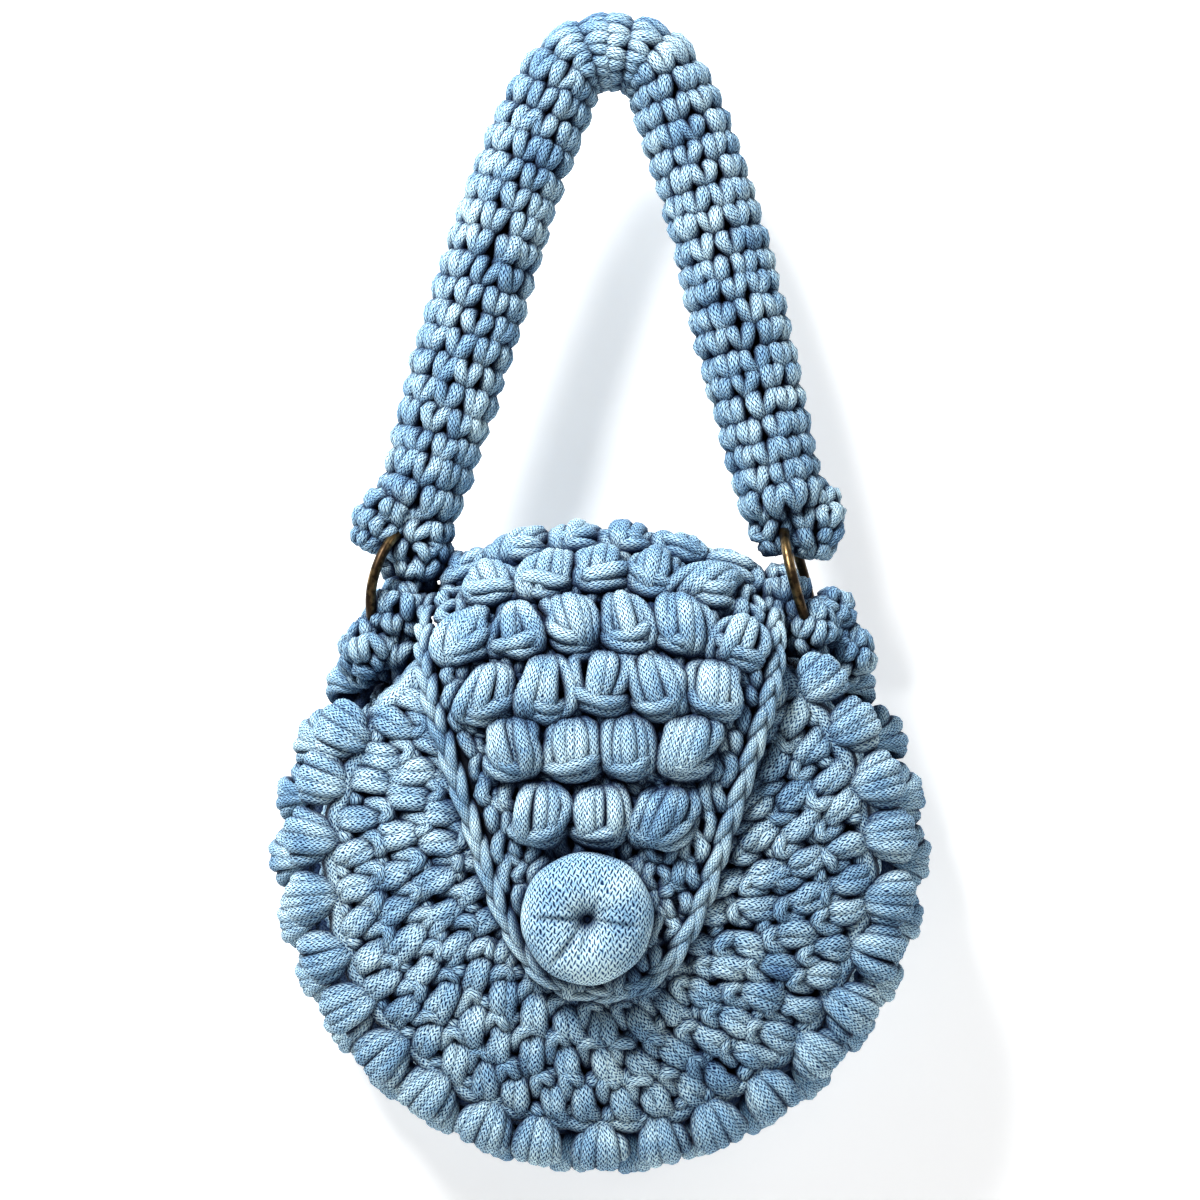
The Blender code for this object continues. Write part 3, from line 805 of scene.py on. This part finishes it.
@as_surface(grain=1.0, facing=-1)
def flap_middle(across, along):
    y = np.interp(along, FLAP_ALONG, FLAP_Y)
    z = np.interp(along, FLAP_ALONG, FLAP_Z)
    over_the_top = np.clip((z - FLAP_SPRING_Z) / (FLAP_TOP_Z - FLAP_SPRING_Z), 0.0, 1.0)
    crown = BACK_RADIUS + FLAP_TOP_RISE
    fall = crown - np.sqrt(np.maximum(crown**2 - across**2, 0.0))
    return columns(across, y, z - over_the_top * fall)


@as_surface(grain=1.0, facing=-1)
def flap_face(across, along):
    return place_on(flap_middle, across, along, np.full(np.shape(along), FLAP_WALL * 0.25))[0]


def flap_half_width(along):
    table = np.asarray(FLAP_OUTLINE)
    return FLAP_HALF_WIDTH * np.interp(np.asarray(along) / FLAP_LENGTH, table[:, 0], table[:, 1])


print("length of the flap:", round(FLAP_LENGTH, 4))

# %% Ground of the flap
# Two short legs that lean together, and the bar of the row above, with the same four columns.
LEFT_LEG = (
    (-0.04, -0.20, -1.5, 0.62),
    (-0.20, 0.10, 0.15, 0.90),
    (-0.30, 0.52, 0.45, 0.98),
    (-0.18, 0.92, 0.0, 0.90),
    (0.02, 1.08, -1.4, 0.65),
)
RIGHT_LEG = (
    (0.06, -0.16, -1.5, 0.62),
    (0.22, 0.12, 0.05, 0.88),
    (0.34, 0.50, 0.30, 0.95),
    (0.28, 0.90, -0.1, 0.88),
    (0.10, 1.10, -1.4, 0.65),
)
CROSS_BAR = (
    (-0.50, 0.00, -1.0, 0.70),
    (-0.22, -0.10, -0.10, 0.82),
    (0.12, 0.08, 0.05, 0.85),
    (0.46, -0.02, -1.1, 0.70),
)
GROUND_STITCH = (LEFT_LEG, RIGHT_LEG, CROSS_BAR)
GROUND_WIDTH = 0.0092
GROUND_LENGTH = 0.0086
GROUND_CORD = 0.0027
GROUND_INSET = 0.0012

skein = Skein()
cells = []
ground_rows = round(FLAP_LENGTH / GROUND_LENGTH)
for row in range(ground_rows):
    along = FLAP_LENGTH * row / ground_rows
    half = float(flap_half_width(along + GROUND_LENGTH / 2)) - GROUND_INSET
    in_row = max(1, round(2 * half / GROUND_WIDTH))
    step = 2 * half / in_row
    for k in range(in_row):
        across = -half + step * (k + 0.5)
        cells.append((across, along, step, FLAP_LENGTH / ground_rows * ROW_OVERLAP, jitter(0.06)))
work(skein, flap_face, cells, GROUND_STITCH, radius=GROUND_CORD, wobble=0.11, points=9, sides=8)
hand_over(skein.make("flap_ground", CORD_BLUE), "flap")

# %% [markdown]
# A bobble is a cluster of tall stitches closed at the top and the bottom, so that it bows out of the fabric.
# Its strands run from one gather to the other over a half egg. Two loose loops lie under its chin,
# and each bobble is turned and pinched a little in its own way.

# %% Bobbles
BOBBLE_PITCH = 0.0176
BOBBLE_HEIGHT = 0.0080
BOBBLE_HALF_LENGTH = 0.0086
BOBBLE_STRANDS = 5
BOBBLE_ROUNDING = 0.60
BOBBLE_PINCH = 0.26
BOBBLE_TWIST = 0.25
# along, count, pitch
BOBBLE_ROWS = (
    (0.262, 6, 0.93),
    (0.358, 5, 0.96),
    (0.449, 6, 0.98),
    (0.541, 5, 1.02),
    (0.634, 4, 1.02),
    (0.734, 3, 1.10),
)
# share of the way over the egg, share of the fan's width, thickness in cord radii
BOBBLE_FAN = (
    (-0.06, 0.16, 0.60),
    (0.05, 0.40, 0.84),
    (0.20, 0.80, 1.00),
    (0.40, 1.04, 1.08),
    (0.60, 1.06, 1.08),
    (0.79, 0.84, 0.98),
    (0.94, 0.42, 0.82),
    (1.05, 0.16, 0.60),
)
# the two loose loops: across, along, height in cord radii, thickness in cord radii
CHIN_LOOP = (
    (-0.50, 0.30, 0.1, 0.66),
    (-0.40, 0.62, 1.05, 0.92),
    (-0.14, 0.92, 1.55, 1.02),
    (0.14, 0.98, 1.50, 1.02),
    (0.38, 0.74, 1.10, 0.92),
    (0.50, 0.42, 0.1, 0.66),
)
CHEEK_LOOP = (
    (-0.46, -0.05, 0.8, 0.70),
    (-0.38, 0.28, 2.00, 0.92),
    (-0.14, 0.60, 2.55, 1.00),
    (0.12, 0.72, 2.40, 0.98),
    (0.36, 0.62, 1.55, 0.90),
    (0.48, 0.45, 0.4, 0.68),
)
MIRRORED_CHEEK = tuple((-across, along, height, thick) for across, along, height, thick in CHEEK_LOOP)


def bobble(skein, across, along, pitch):
    fan = np.linspace(-1.0, 1.0, BOBBLE_STRANDS) + jitter(0.10, BOBBLE_STRANDS)
    rows = np.repeat(np.asarray(BOBBLE_FAN)[None], BOBBLE_STRANDS, axis=0)
    rows[..., 0] += jitter(0.02, rows.shape[:2])
    rows[..., 1] += jitter(0.12, rows.shape[:2])
    rows[..., 1] *= 1.0 + jitter(BOBBLE_PINCH) * np.cos(rows[..., 0] * np.pi)
    rows = smooth(rows, 15)
    angle = rows[..., 0] * np.pi
    size = 1.0 + jitter(0.04)
    dome = np.sqrt(np.clip(1.0 - BOBBLE_ROUNDING * fan[:, None] ** 2, 0.1, 1.0))
    uneven = 1.0 + jitter(0.12, (BOBBLE_STRANDS, 1))
    half_width = pitch / 2 - CORD_RADIUS * 0.95
    twist = jitter(BOBBLE_TWIST)
    height = np.sin(angle) * (BOBBLE_HEIGHT - CORD_RADIUS * 0.4) * dome * size * uneven
    v = along - np.cos(angle) * BOBBLE_HALF_LENGTH * size
    u = across + rows[..., 1] * fan[:, None] * half_width * size + twist * (v - along)
    paths, out = place_on(flap_face, u, v, height + CORD_RADIUS * 0.3)
    tone = dice.normal(0.1, 0.25) + jitter(0.2, BOBBLE_STRANDS)
    # The height handed on for painted shade is lowered, so each bobble is painted darker towards both
    # gathers.
    skein.lay(paths, rows[..., 2] * CORD_RADIUS, out, lift=height - 0.4 * BOBBLE_HEIGHT, sides=9, tone=tone)
    cell = [(across, along, pitch, BOBBLE_HALF_LENGTH, 0.0)]
    cheek = CHEEK_LOOP if dice.random() < 0.5 else MIRRORED_CHEEK
    work(skein, flap_face, cell, (CHIN_LOOP, cheek), radius=CORD_RADIUS, wobble=0.05, points=12, sides=9)


for number, (share, count, pitch_share) in enumerate(BOBBLE_ROWS, 1):
    skein = Skein()
    pitch = BOBBLE_PITCH * pitch_share
    for k in range(count):
        across = pitch * (k + 0.5 - count / 2)
        bobble(skein, across, share * FLAP_LENGTH + jitter(0.0005), pitch)
    hand_over(skein.make(f"bobbles_{number}", CORD_BLUE), f"bobble_row_{number}")

# %% [markdown]
# The edging is a chain of slip stitches round the free edge. Each link is one strand that starts under the
# link before it, swells and slips under the next. It lies on the outline, one cord out from the ground.


# %% Edging chain
def flap_outline(reach, rows=60):
    """The flap's edge moved outwards by a reach, from the root on the right round the tip to the left."""
    along = np.linspace(0.0, FLAP_LENGTH, rows)
    right = columns(flap_half_width(along), along)
    line = np.concatenate([right, right[::-1] * (-1, 1)])
    ahead = np.gradient(line, axis=0)
    normal = unit(columns(ahead[:, 1], -ahead[:, 0]))
    return line + normal * reach


def resample(line, count):
    run = np.concatenate([[0.0], np.cumsum(np.linalg.norm(np.diff(line, axis=0), axis=1))])
    even = np.linspace(0.0, run[-1], count)
    return np.stack([np.interp(even, run, line[:, k]) for k in range(line.shape[1])], axis=-1), run[-1]


def line_at(places, line):
    """Points on a line, by their places counted in its own points."""
    count = np.arange(len(line))
    return np.stack([np.interp(places, count, line[:, k]) for k in range(2)], axis=-1)


LINK_PITCH = 0.0120
EDGE_CORD = 0.0019
EDGE_ASIDE = 0.0021
EDGE_RISE = 0.0012
edge_line = np.pad(flap_outline(0.0030), ((2, 2), (0, 0)), mode="edge")
kernel = np.ones(5) / 5
edge_line = np.stack([np.convolve(edge_line[:, k], kernel, mode="valid") for k in range(2)], axis=-1)
fine, edge_length = resample(edge_line, 1200)
direction = np.gradient(fine, axis=0)
link_count = round(edge_length / LINK_PITCH)
# along the link in pitches, sideways and height in cord radii, thickness
LINK = (
    (-0.30, -0.50, -0.9, 0.60),
    (-0.08, -0.45, 0.1, 0.85),
    (0.25, -0.15, 0.85, 1.02),
    (0.60, 0.20, 0.95, 1.02),
    (0.95, 0.50, 0.2, 0.88),
    (1.20, 0.35, -0.9, 0.60),
)
skein = Skein()
for side in (-1.0, 1.0):
    rows = np.repeat(np.asarray(LINK)[None], link_count, axis=0)
    rows[..., 1] = rows[..., 1] * side + side * 0.42
    rows[..., 2] -= 0.35 * (side > 0)
    rows[..., :3] += jitter(0.03, rows[..., :3].shape)
    rows = smooth(rows, 10)
    place = np.arange(link_count)[:, None] + rows[..., 0] + 0.25 * side
    place = np.clip(place * LINK_PITCH / edge_length * (len(fine) - 1), 1, len(fine) - 2)
    heading = unit(line_at(place, direction))
    aside = columns(heading[..., 1], -heading[..., 0])
    spot = line_at(place, fine) + aside * rows[..., 1, None] * EDGE_ASIDE
    paths, out = place_on(flap_middle, spot[..., 0], spot[..., 1], rows[..., 2] * EDGE_CORD + EDGE_RISE)
    tone = 0.5 + jitter(0.2, link_count)
    # the chain is painted with shade as if it lay one millimetre above the fabric
    skein.lay(paths, rows[..., 3] * EDGE_CORD, out, lift=0.001, tone=tone)
hand_over(skein.make("edging_chain", CORD_BLUE), "flap_edging")

# %% [markdown]
# ## The tabs and the handle
#
# A tab is a short tongue folded over its ring, so it shows as fat loops side by side over the wire.
# The handle is a padded tube worked in rounds. Its centre line comes from a table of shares,
# and each stitch on it is a pair of plump legs, gathered at their foot.
# The ends of the handle and the tabs are plump lobes of the same stitch, which close round the rings.

# %% Fat lobes of stitches
# Two plump legs that lean away from each other, gathered at their foot, with the same four columns.
LEFT_LOBE = (
    (0.06, -0.20, -1.5, 0.66),
    (-0.03, 0.04, -0.1, 0.90),
    (-0.15, 0.36, 0.60, 1.08),
    (-0.26, 0.70, 0.95, 1.18),
    (-0.29, 0.98, 0.35, 1.06),
    (-0.24, 1.14, -1.2, 0.74),
)
RIGHT_LOBE = tuple((-across, along, height, thick) for across, along, height, thick in LEFT_LOBE)
LOBE_STITCH = (LEFT_LOBE, RIGHT_LOBE)
LOBE_CORD = 0.0021
LOBE_CELL = 0.0069
LOBE_CORE = 0.0026
# the stitches cover an egg up to this angle from its middle, in radians
LOBE_COVER = 1.45
core_balls = []


def lobe(skein, centre, half, lean=0.0):
    """A plump lobe: an egg covered in stitches. centre and half sizes in mm, lean in degrees."""
    centre, half = np.asarray(centre) / 1000, np.asarray(half) / 1000 - LOBE_CORD * 0.7
    c, s = math.cos(math.radians(lean)), math.sin(math.radians(lean))
    upright = np.array([[c, 0.0, s], [0.0, 1.0, 0.0], [-s, 0.0, c]])

    @as_surface(grain=math.radians(1.0) * float(half[:2].mean()), facing=-1)
    def egg(turn, rise):
        height = np.clip(rise / half[2], -1.5, 1.5)
        angle = np.radians(turn)
        wide = np.cos(height)
        parts = (wide * np.sin(angle), wide * np.cos(angle), np.sin(height))
        return centre + (np.stack(parts, axis=-1) * half) @ upright.T

    cells = []
    tall = half[2] * LOBE_COVER
    rows = max(2, round(2 * tall / LOBE_CELL))
    row_height = 2 * tall / rows
    for row in range(rows):
        start = -tall + row_height * row
        girth = 2 * math.pi * float(half[:2].mean()) * math.cos((start + tall / rows) / half[2])
        count = max(4, round(girth / LOBE_CELL))
        for k in range(count):
            turn = 360.0 * (k + 0.5 * (row % 2)) / count
            cells.append((turn, start, 360.0 / count, row_height, jitter(0.22)))
    work(skein, egg, cells, LOBE_STITCH, radius=LOBE_CORD, wobble=0.11, points=9, sides=8)
    core_balls.append((centre, half - LOBE_CORE * 0.5, upright))


# %% Tabs
# centre, half sizes and lean of the lobes on either side of a ring's foot
TAB_LOBES = {
    "tab_left": (
        ((-66.4, -5.0, -177.8), (9.2, 9.4, 10.2), 10.0),
        ((-74.6, -7.0, -188.4), (7.6, 8.0, 8.0), -15.0),
        ((-77.2, 2.0, -191.5), (8.0, 9.0, 8.0), -25.0),
        ((-65.0, -3.0, -191.0), (9.0, 9.0, 8.0), 0.0),
    ),
    "tab_right": (
        ((60.2, -3.0, -173.4), (8.0, 9.2, 10.8), 0.0),
        ((68.8, -7.5, -183.0), (7.8, 8.2, 8.8), 15.0),
        ((74.6, 0.0, -180.0), (7.0, 8.8, 9.8), 25.0),
        ((80.6, 1.0, -190.4), (9.0, 9.0, 8.6), 30.0),
    ),
}
for name, lobes in TAB_LOBES.items():
    skein = Skein()
    for centre, half, lean in lobes:
        lobe(skein, centre, half, lean)
    hand_over(skein.make(f"{name}_loops", CORD_BLUE), name)

# %% Centre line of the handle
HANDLE_HALF_WIDTH = 0.0122
HANDLE_HALF_DEPTH = 0.0098
HANDLE_HALF_SPAN = 0.0628
HANDLE_LEAN = 0.0045
HANDLE_END_LENGTH = 0.0135
RING_WIRE_RADIUS = 0.0017
# the handle holds its ring this far from the ring's top, and how blunt its ends are
RING_GRIP_ANGLE = math.radians(15.0)
END_BLUNTNESS = 3.2
SQUARENESS = 0.85
# drop, span, width, depth, as shares
HANDLE_ROUTE = (
    (0.000, 0.000, 0.68, 1.14),
    (0.014, 0.170, 0.70, 1.12),
    (0.055, 0.272, 0.79, 1.08),
    (0.125, 0.350, 0.88, 1.03),
    (0.220, 0.440, 0.93, 1.00),
    (0.340, 0.543, 0.95, 1.00),
    (0.530, 0.676, 1.00, 1.00),
    (0.730, 0.810, 0.96, 1.00),
    (0.900, 0.922, 0.86, 1.00),
    (1.000, 1.000, 0.86, 1.00),
)


def ring_place(node):
    """Centre, facing and radius of a ring, read from its own solid."""
    points = np.array([v.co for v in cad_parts[node].data.vertices])
    centre = points.mean(axis=0)
    _, _, axes = np.linalg.svd(points - centre)
    reach = np.linalg.norm(points - centre, axis=1)
    return centre, axes[2], float((reach.max() + reach.min()) / 2)


ring_centre, _, ring_radius = ring_place("ring_right")
handle_apex_z = HANDLE_HALF_WIDTH * HANDLE_ROUTE[0][2]
handle_drop = handle_apex_z - (ring_centre[2] + ring_radius * math.cos(RING_GRIP_ANGLE))
half = np.asarray(HANDLE_ROUTE)
both = np.concatenate([half[:0:-1] * (1, -1, 1, 1), half])
stations = np.stack(
    [
        both[:, 1] * HANDLE_HALF_SPAN + HANDLE_LEAN * (1 - both[:, 0]),
        handle_apex_z - both[:, 0] * handle_drop,
        both[:, 2] * HANDLE_HALF_WIDTH,
        both[:, 3] * HANDLE_HALF_DEPTH,
    ],
    axis=-1,
)
line = smooth(stations[None], 400)[0]
for end, inner in ((0, 1), (-1, -2)):
    way = unit(line[end, :2] - line[inner, :2])
    share = np.linspace(0.0, 1.0, 24)[1:, None]
    middle = line[end, :2] + way * HANDLE_END_LENGTH * share
    section = line[end, 2:] * np.sqrt(np.maximum(1.0 - share**END_BLUNTNESS, 0.01))
    closing = np.concatenate([middle, section], axis=1)
    line = np.concatenate([closing[::-1], line] if end == 0 else [line, closing])
handle_run = np.concatenate([[0.0], np.cumsum(np.hypot(*np.diff(line[:, :2], axis=0).T))])
HANDLE_LENGTH = float(handle_run[-1])
ahead = unit(np.gradient(line[:, :2], axis=0))
print("length of the handle:", round(HANDLE_LENGTH, 4))


@as_surface(grain=math.radians(1.0) * HANDLE_HALF_DEPTH, facing=-1)
def handle_face(turn, run):
    x, z, width, depth = (np.interp(run, handle_run, line[:, k]) for k in range(4))
    ahead_x, ahead_z = (np.interp(run, handle_run, ahead[:, k]) for k in range(2))
    c, s = np.cos(np.radians(turn)), np.sin(np.radians(turn))
    wide = width * np.sign(c) * np.abs(c) ** SQUARENESS
    deep = depth * np.sign(s) * np.abs(s) ** SQUARENESS
    return columns(x - ahead_z * wide, deep, z + ahead_x * wide)


# %% Stitches of the handle
# height of a round, stitches in a round and lean of a stitch, on the left and the right leg
LEFT_LEG_WORK = (0.0084, 10, -0.10)
RIGHT_LEG_WORK = (0.0078, 10, 0.04)
END_STRETCH = 0.019
HANDLE_CORD = 0.0023
TURN_OF_A_ROUND = 4.0
# centre, half sizes and lean of the lobes that close round the tops of the rings
END_LOBES = (
    ((-71.4, -4.5, -146.2), (7.6, 8.5, 10.4), 34.0),
    ((-60.6, -1.0, -153.8), (10.6, 9.2, 15.2), 3.0),
    ((70.2, 1.5, -145.6), (9.2, 8.4, 12.2), -4.0),
    ((56.6, 0.5, -144.0), (6.6, 8.0, 12.6), -9.0),
)
skein = Skein()
for centre, half, lean in END_LOBES:
    lobe(skein, centre, half, lean)
cells = []
for leg, (height, count, lean) in ((1, LEFT_LEG_WORK), (-1, RIGHT_LEG_WORK)):
    rounds = round((HANDLE_LENGTH / 2 - END_STRETCH) / height)
    height = (HANDLE_LENGTH / 2 - END_STRETCH) / rounds
    for number in range(rounds):
        base = END_STRETCH + height * number + jitter(0.0004)
        start = base if leg > 0 else HANDLE_LENGTH - base
        for k in range(count):
            turn = 360.0 / count * (k + 0.5 * (number % 2) + jitter(0.04))
            turn += number * TURN_OF_A_ROUND
            cells.append((turn, start, 360.0 / count, leg * height * 1.03, lean + jitter(0.10)))
work(skein, handle_face, cells, LOBE_STITCH, radius=HANDLE_CORD, wobble=0.05, points=9, sides=8)
handle = skein.make("handle_stitches", CORD_BLUE)
hand_over(handle, "handle")

# %% [markdown]
# ## The button
#
# The button is a disc of the same knit, stuffed and drawn together by one stitch in its middle.
# The pull folds its face into soft pleats that run to the dimple. It is turned as a profile,
# and each pleat is a shallow crease pressed into that form.

# %% Button
BUTTON_RADIUS = 0.0208
BUTTON_HEIGHT = 0.0145
BUTTON_X = -0.0040
BUTTON_BELOW_CENTRE = 0.0145
button_base_y = float(FLAP_Y[-1]) - FLAP_WALL / 2 - GAP
# share of the radius, share of the height
BUTTON_PROFILE = (
    (0.60, -0.12),
    (0.84, 0.02),
    (0.97, 0.22),
    (1.00, 0.44),
    (0.95, 0.66),
    (0.82, 0.85),
    (0.64, 0.96),
    (0.46, 1.00),
    (0.30, 0.95),
    (0.16, 0.84),
    (0.07, 0.72),
    (0.02, 0.62),
)
# angle in degrees, depth, and how far it runs as a share of the radius
PLEATS = (
    (-150.0, 0.55, 0.45),
    (-128.0, 1.00, 0.95),
    (-98.0, 0.75, 0.60),
    (-60.0, 0.35, 0.50),
    (-8.0, 0.80, 0.85),
    (28.0, 0.45, 0.50),
    (58.0, 0.55, 0.45),
    (104.0, 0.40, 0.40),
    (150.0, 0.45, 0.50),
    (178.0, 0.90, 0.90),
)
PLEAT_HALF_WIDTH = 0.0011
PLEAT_DEPTH = 0.0013
# girth of a cord, which turns metres across the cover into turns of the knit, and how coarse that knit is
CORD_GIRTH = 0.017
COVER_KNIT = 0.60
COVER_TONE = 0.45
around, profile_steps = 180, 60
profile = smooth(np.asarray(BUTTON_PROFILE)[None], profile_steps)[0]
reach, height = profile[:, 0, None], profile[:, 1, None]
angle = np.radians(np.arange(around) * 360.0 / around)
front_side = np.clip(height * 4 - 1.6, 0.0, 1.0)
pleat = np.zeros((profile_steps, around))
for degrees, depth, run in PLEATS:
    off = np.radians((np.degrees(angle) - degrees + 180.0) % 360.0 - 180.0)
    aside = np.clip(np.abs(off), 0.0, 1.5) * reach * BUTTON_RADIUS
    fade = np.clip((run - reach) / 0.25, 0.0, 1.0) * front_side
    pleat += depth * fade * np.exp(-((aside / PLEAT_HALF_WIDTH) ** 2))
scallop = 0.007 * np.sin(8 * angle + 0.5) + 0.006 * np.sin(3 * angle)
radial = reach * BUTTON_RADIUS * (1 + scallop * np.clip(reach * 2, 0, 1))
high = height * BUTTON_HEIGHT - PLEAT_DEPTH * np.clip(pleat, 0.0, 1.3) * (reach > 0.04)
points = np.stack(
    [
        BUTTON_X + radial * np.cos(angle),
        button_base_y - high,
        CENTRE_Z - BUTTON_BELOW_CENTRE + radial * np.sin(angle),
    ],
    axis=-1,
)
index = np.arange(profile_steps * around).reshape(profile_steps, around)
after = np.roll(index, -1, axis=1)
faces = columns(index[:-1], after[:-1], after[1:], index[1:]).reshape(-1, 4).tolist()
faces += [index[0, ::-1].tolist(), index[-1].tolist()]
# The cover's knit runs straight up the button, so its map is the face laid flat.
arc = np.concatenate([[0.0], np.cumsum(np.hypot(*np.diff(profile, axis=0).T))]) * BUTTON_RADIUS
from_middle = COVER_KNIT * (arc[-1] - arc)[:, None]
flat_map = columns(from_middle * np.sin(angle), from_middle * np.cos(angle) / CORD_GIRTH)
next_map = np.roll(flat_map, -1, axis=1)
maps = np.stack([flat_map[:-1], next_map[:-1], next_map[1:], flat_map[1:]], axis=2).reshape(-1, 2)
maps = np.concatenate([maps, np.zeros((2 * around, 2))])
# Painted shade: the pleats and the dimple in the middle are darkened through the cover's height numbers.
pleat_shade = 0.8 - 0.32 * pleat - 0.9 * np.exp(-reach / 0.045)
mesh = cord_mesh("button_cover", points, faces, maps, np.full(pleat_shade.shape, COVER_TONE), pleat_shade)
button = new_object("button_cover", mesh, CORD_BLUE)
hand_over(button, "button")
print("button:", len(faces), "faces")

# %% [markdown]
# ## The rings
#
# The rings are cast and plated in antique brass: nearly black brown, rubbed to gold where they are touched.
# Each is a round wire bent to a circle, laid exactly where its solid is.

# %% Antique brass
brass, nodes, links, shader = new_material("antique_brass")
dial(shader, {"Metallic": 1.0})
space = nodes.new("ShaderNodeTexCoord")
wear = nodes.new("ShaderNodeTexNoise")
dial(wear, {"Scale": 260.0, "Detail": 5.0})
links.new(space.outputs["Object"], wear.inputs["Vector"])
ramp = nodes.new("ShaderNodeValToRGB")
ramp.color_ramp.elements[0].position = 0.46
ramp.color_ramp.elements[0].color = (0.030, 0.019, 0.011, 1.0)
ramp.color_ramp.elements[1].position = 0.72
ramp.color_ramp.elements[1].color = (0.300, 0.200, 0.090, 1.0)
links.new(wear.outputs["Fac"], ramp.inputs["Fac"])
links.new(ramp.outputs["Color"], shader.inputs["Base Color"])
dull = nodes.new("ShaderNodeMapRange")
dial(dull, {"From Min": 0.35, "From Max": 0.70, "To Min": 0.46, "To Max": 0.26})
links.new(wear.outputs["Fac"], dull.inputs["Value"])
links.new(dull.outputs["Result"], shader.inputs["Roughness"])
relief = nodes.new("ShaderNodeBump")
dial(relief, {"Strength": 0.25, "Distance": 0.0002})
links.new(wear.outputs["Fac"], relief.inputs["Height"])
links.new(relief.outputs["Normal"], shader.inputs["Normal"])
print("metal:", brass.name)


# %% Rings
def wire_ring(name, node, around=96, sides=16):
    centre, axis, radius = ring_place(node)
    first = unit(np.cross(axis, (0.0, 1.0, 0.3)))
    second = np.cross(axis, first)
    turn = 2 * np.pi * np.arange(around) / around
    tilt = 2 * np.pi * np.arange(sides) / sides
    out = first * np.cos(turn)[:, None] + second * np.sin(turn)[:, None]
    points = centre + out[:, None] * (radius + RING_WIRE_RADIUS * np.cos(tilt))[None, :, None]
    points = points + axis * (RING_WIRE_RADIUS * np.sin(tilt))[None, :, None]
    index = np.arange(around * sides).reshape(around, sides)
    after = np.roll(index, -1, axis=0)
    quads = columns(after, np.roll(after, -1, axis=1), np.roll(index, -1, axis=1), index)
    mesh = bpy.data.meshes.new(name)
    mesh.from_pydata(points.reshape(-1, 3).tolist(), [], quads.reshape(-1, 4).tolist())
    mesh.shade_smooth()
    hand_over(new_object(name, mesh, brass), node, slot="antique_brass")
    print(name, "radius", round(radius, 4))


wire_ring("brass_ring_left", "ring_left")
wire_ring("brass_ring_right", "ring_right")

# %% [markdown]
# ## What shows between the stitches
#
# Between fat strands one looks into the dark inside of the fabric. Under each layer of stitches lies a thin
# wall of the cord darkened as painted shade, so that no light comes through the bag. It follows the same
# surfaces.


# %% Walls of painted shade behind the stitches
def dark_wall(name, surface, u_values, v_values, near, far, close_u=False):
    """A thin closed wall between two depths under a surface, in the darkened cord that paints shade."""
    u, v = np.meshgrid(u_values, v_values, indexing="ij")
    layers = [place_on(surface, u, v, np.full(u.shape, depth))[0] for depth in (near, far)]
    index = np.arange(u.size).reshape(u.shape)
    offset = u.size
    u_next = np.roll(index, -1, axis=0) if close_u else index[1:]
    u_here = index if close_u else index[:-1]
    top = columns(u_here[:, :-1], u_next[:, :-1], u_next[:, 1:], u_here[:, 1:]).reshape(-1, 4)
    faces = top.tolist() + (top[:, ::-1] + offset).tolist()
    rims = [(u_here[:, 0], u_next[:, 0], 1), (u_here[:, -1], u_next[:, -1], -1)]
    if not close_u:
        rims += [(index[0, :-1], index[0, 1:], -1), (index[-1, :-1], index[-1, 1:], 1)]
    for here, there, way in rims:
        quad = columns(here, here + offset, there + offset, there)
        faces += (quad if way > 0 else quad[:, ::-1]).tolist()
    hand_over(new_object(name, cord_mesh(name, np.stack(layers), faces), CORD_SHADE))
    print(f"{name}: {len(faces)} faces")


full_turn = np.arange(0.0, 360.0, 5.0)
for name, face, radius in (("front", front_face, FRONT_RADIUS), ("back", back_face, BACK_RADIUS)):
    dark_wall(f"{name}_inside", face, full_turn, np.linspace(0.002, radius, 12), -0.0040, -0.0066, True)
open_turn = np.linspace(MOUTH_HALF_ANGLE, 360.0 - MOUTH_HALF_ANGLE, 70)
dark_wall("gusset_inside", gusset_face, open_turn, np.linspace(-0.0145, 0.0145, 5), -0.0035, -0.0058)


@as_surface(grain=FLAP_HALF_WIDTH, facing=-1)
def flap_by_share(share, along):
    return flap_middle(share * flap_half_width(along), along)


flap_rows = np.linspace(0.0, 1.0, 50) * FLAP_LENGTH
dark_wall("flap_inside", flap_by_share, np.linspace(-1, 1, 15), flap_rows, -0.0008, -0.0034)
core_run = np.linspace(END_STRETCH, HANDLE_LENGTH - END_STRETCH, 120)
dark_wall("handle_core", handle_face, np.arange(0.0, 360.0, 15.0), core_run, -0.0022, -0.0036, True)

# %% Cores of the lobes
# Each lobe is filled with a dark core in the darkened cord, painted shade that shows between its stitches.
mesh = bpy.data.meshes.new("lobe_cores")
shell = bmesh.new()
for centre, half, upright in core_balls:
    place = Matrix((upright * half).tolist()).to_4x4()
    place.translation = Vector(centre)
    bmesh.ops.create_uvsphere(shell, u_segments=20, v_segments=12, radius=1.0, matrix=place)
shell.to_mesh(mesh)
shell.free()
mesh.uv_layers.new(name="cord")
mesh.shade_smooth()
hand_over(new_object("lobe_cores", mesh, CORD_SHADE))
print("lobe cores:", len(core_balls))

# %% [markdown]
# ## Measure and finish
#
# The dressed bag may stand a little proud of the solids, but it mustn't outgrow them.

# %% Size of the dressed bag
low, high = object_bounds()
print("box of the dressed bag:", np.round([list(low), list(high)], 4).tolist())
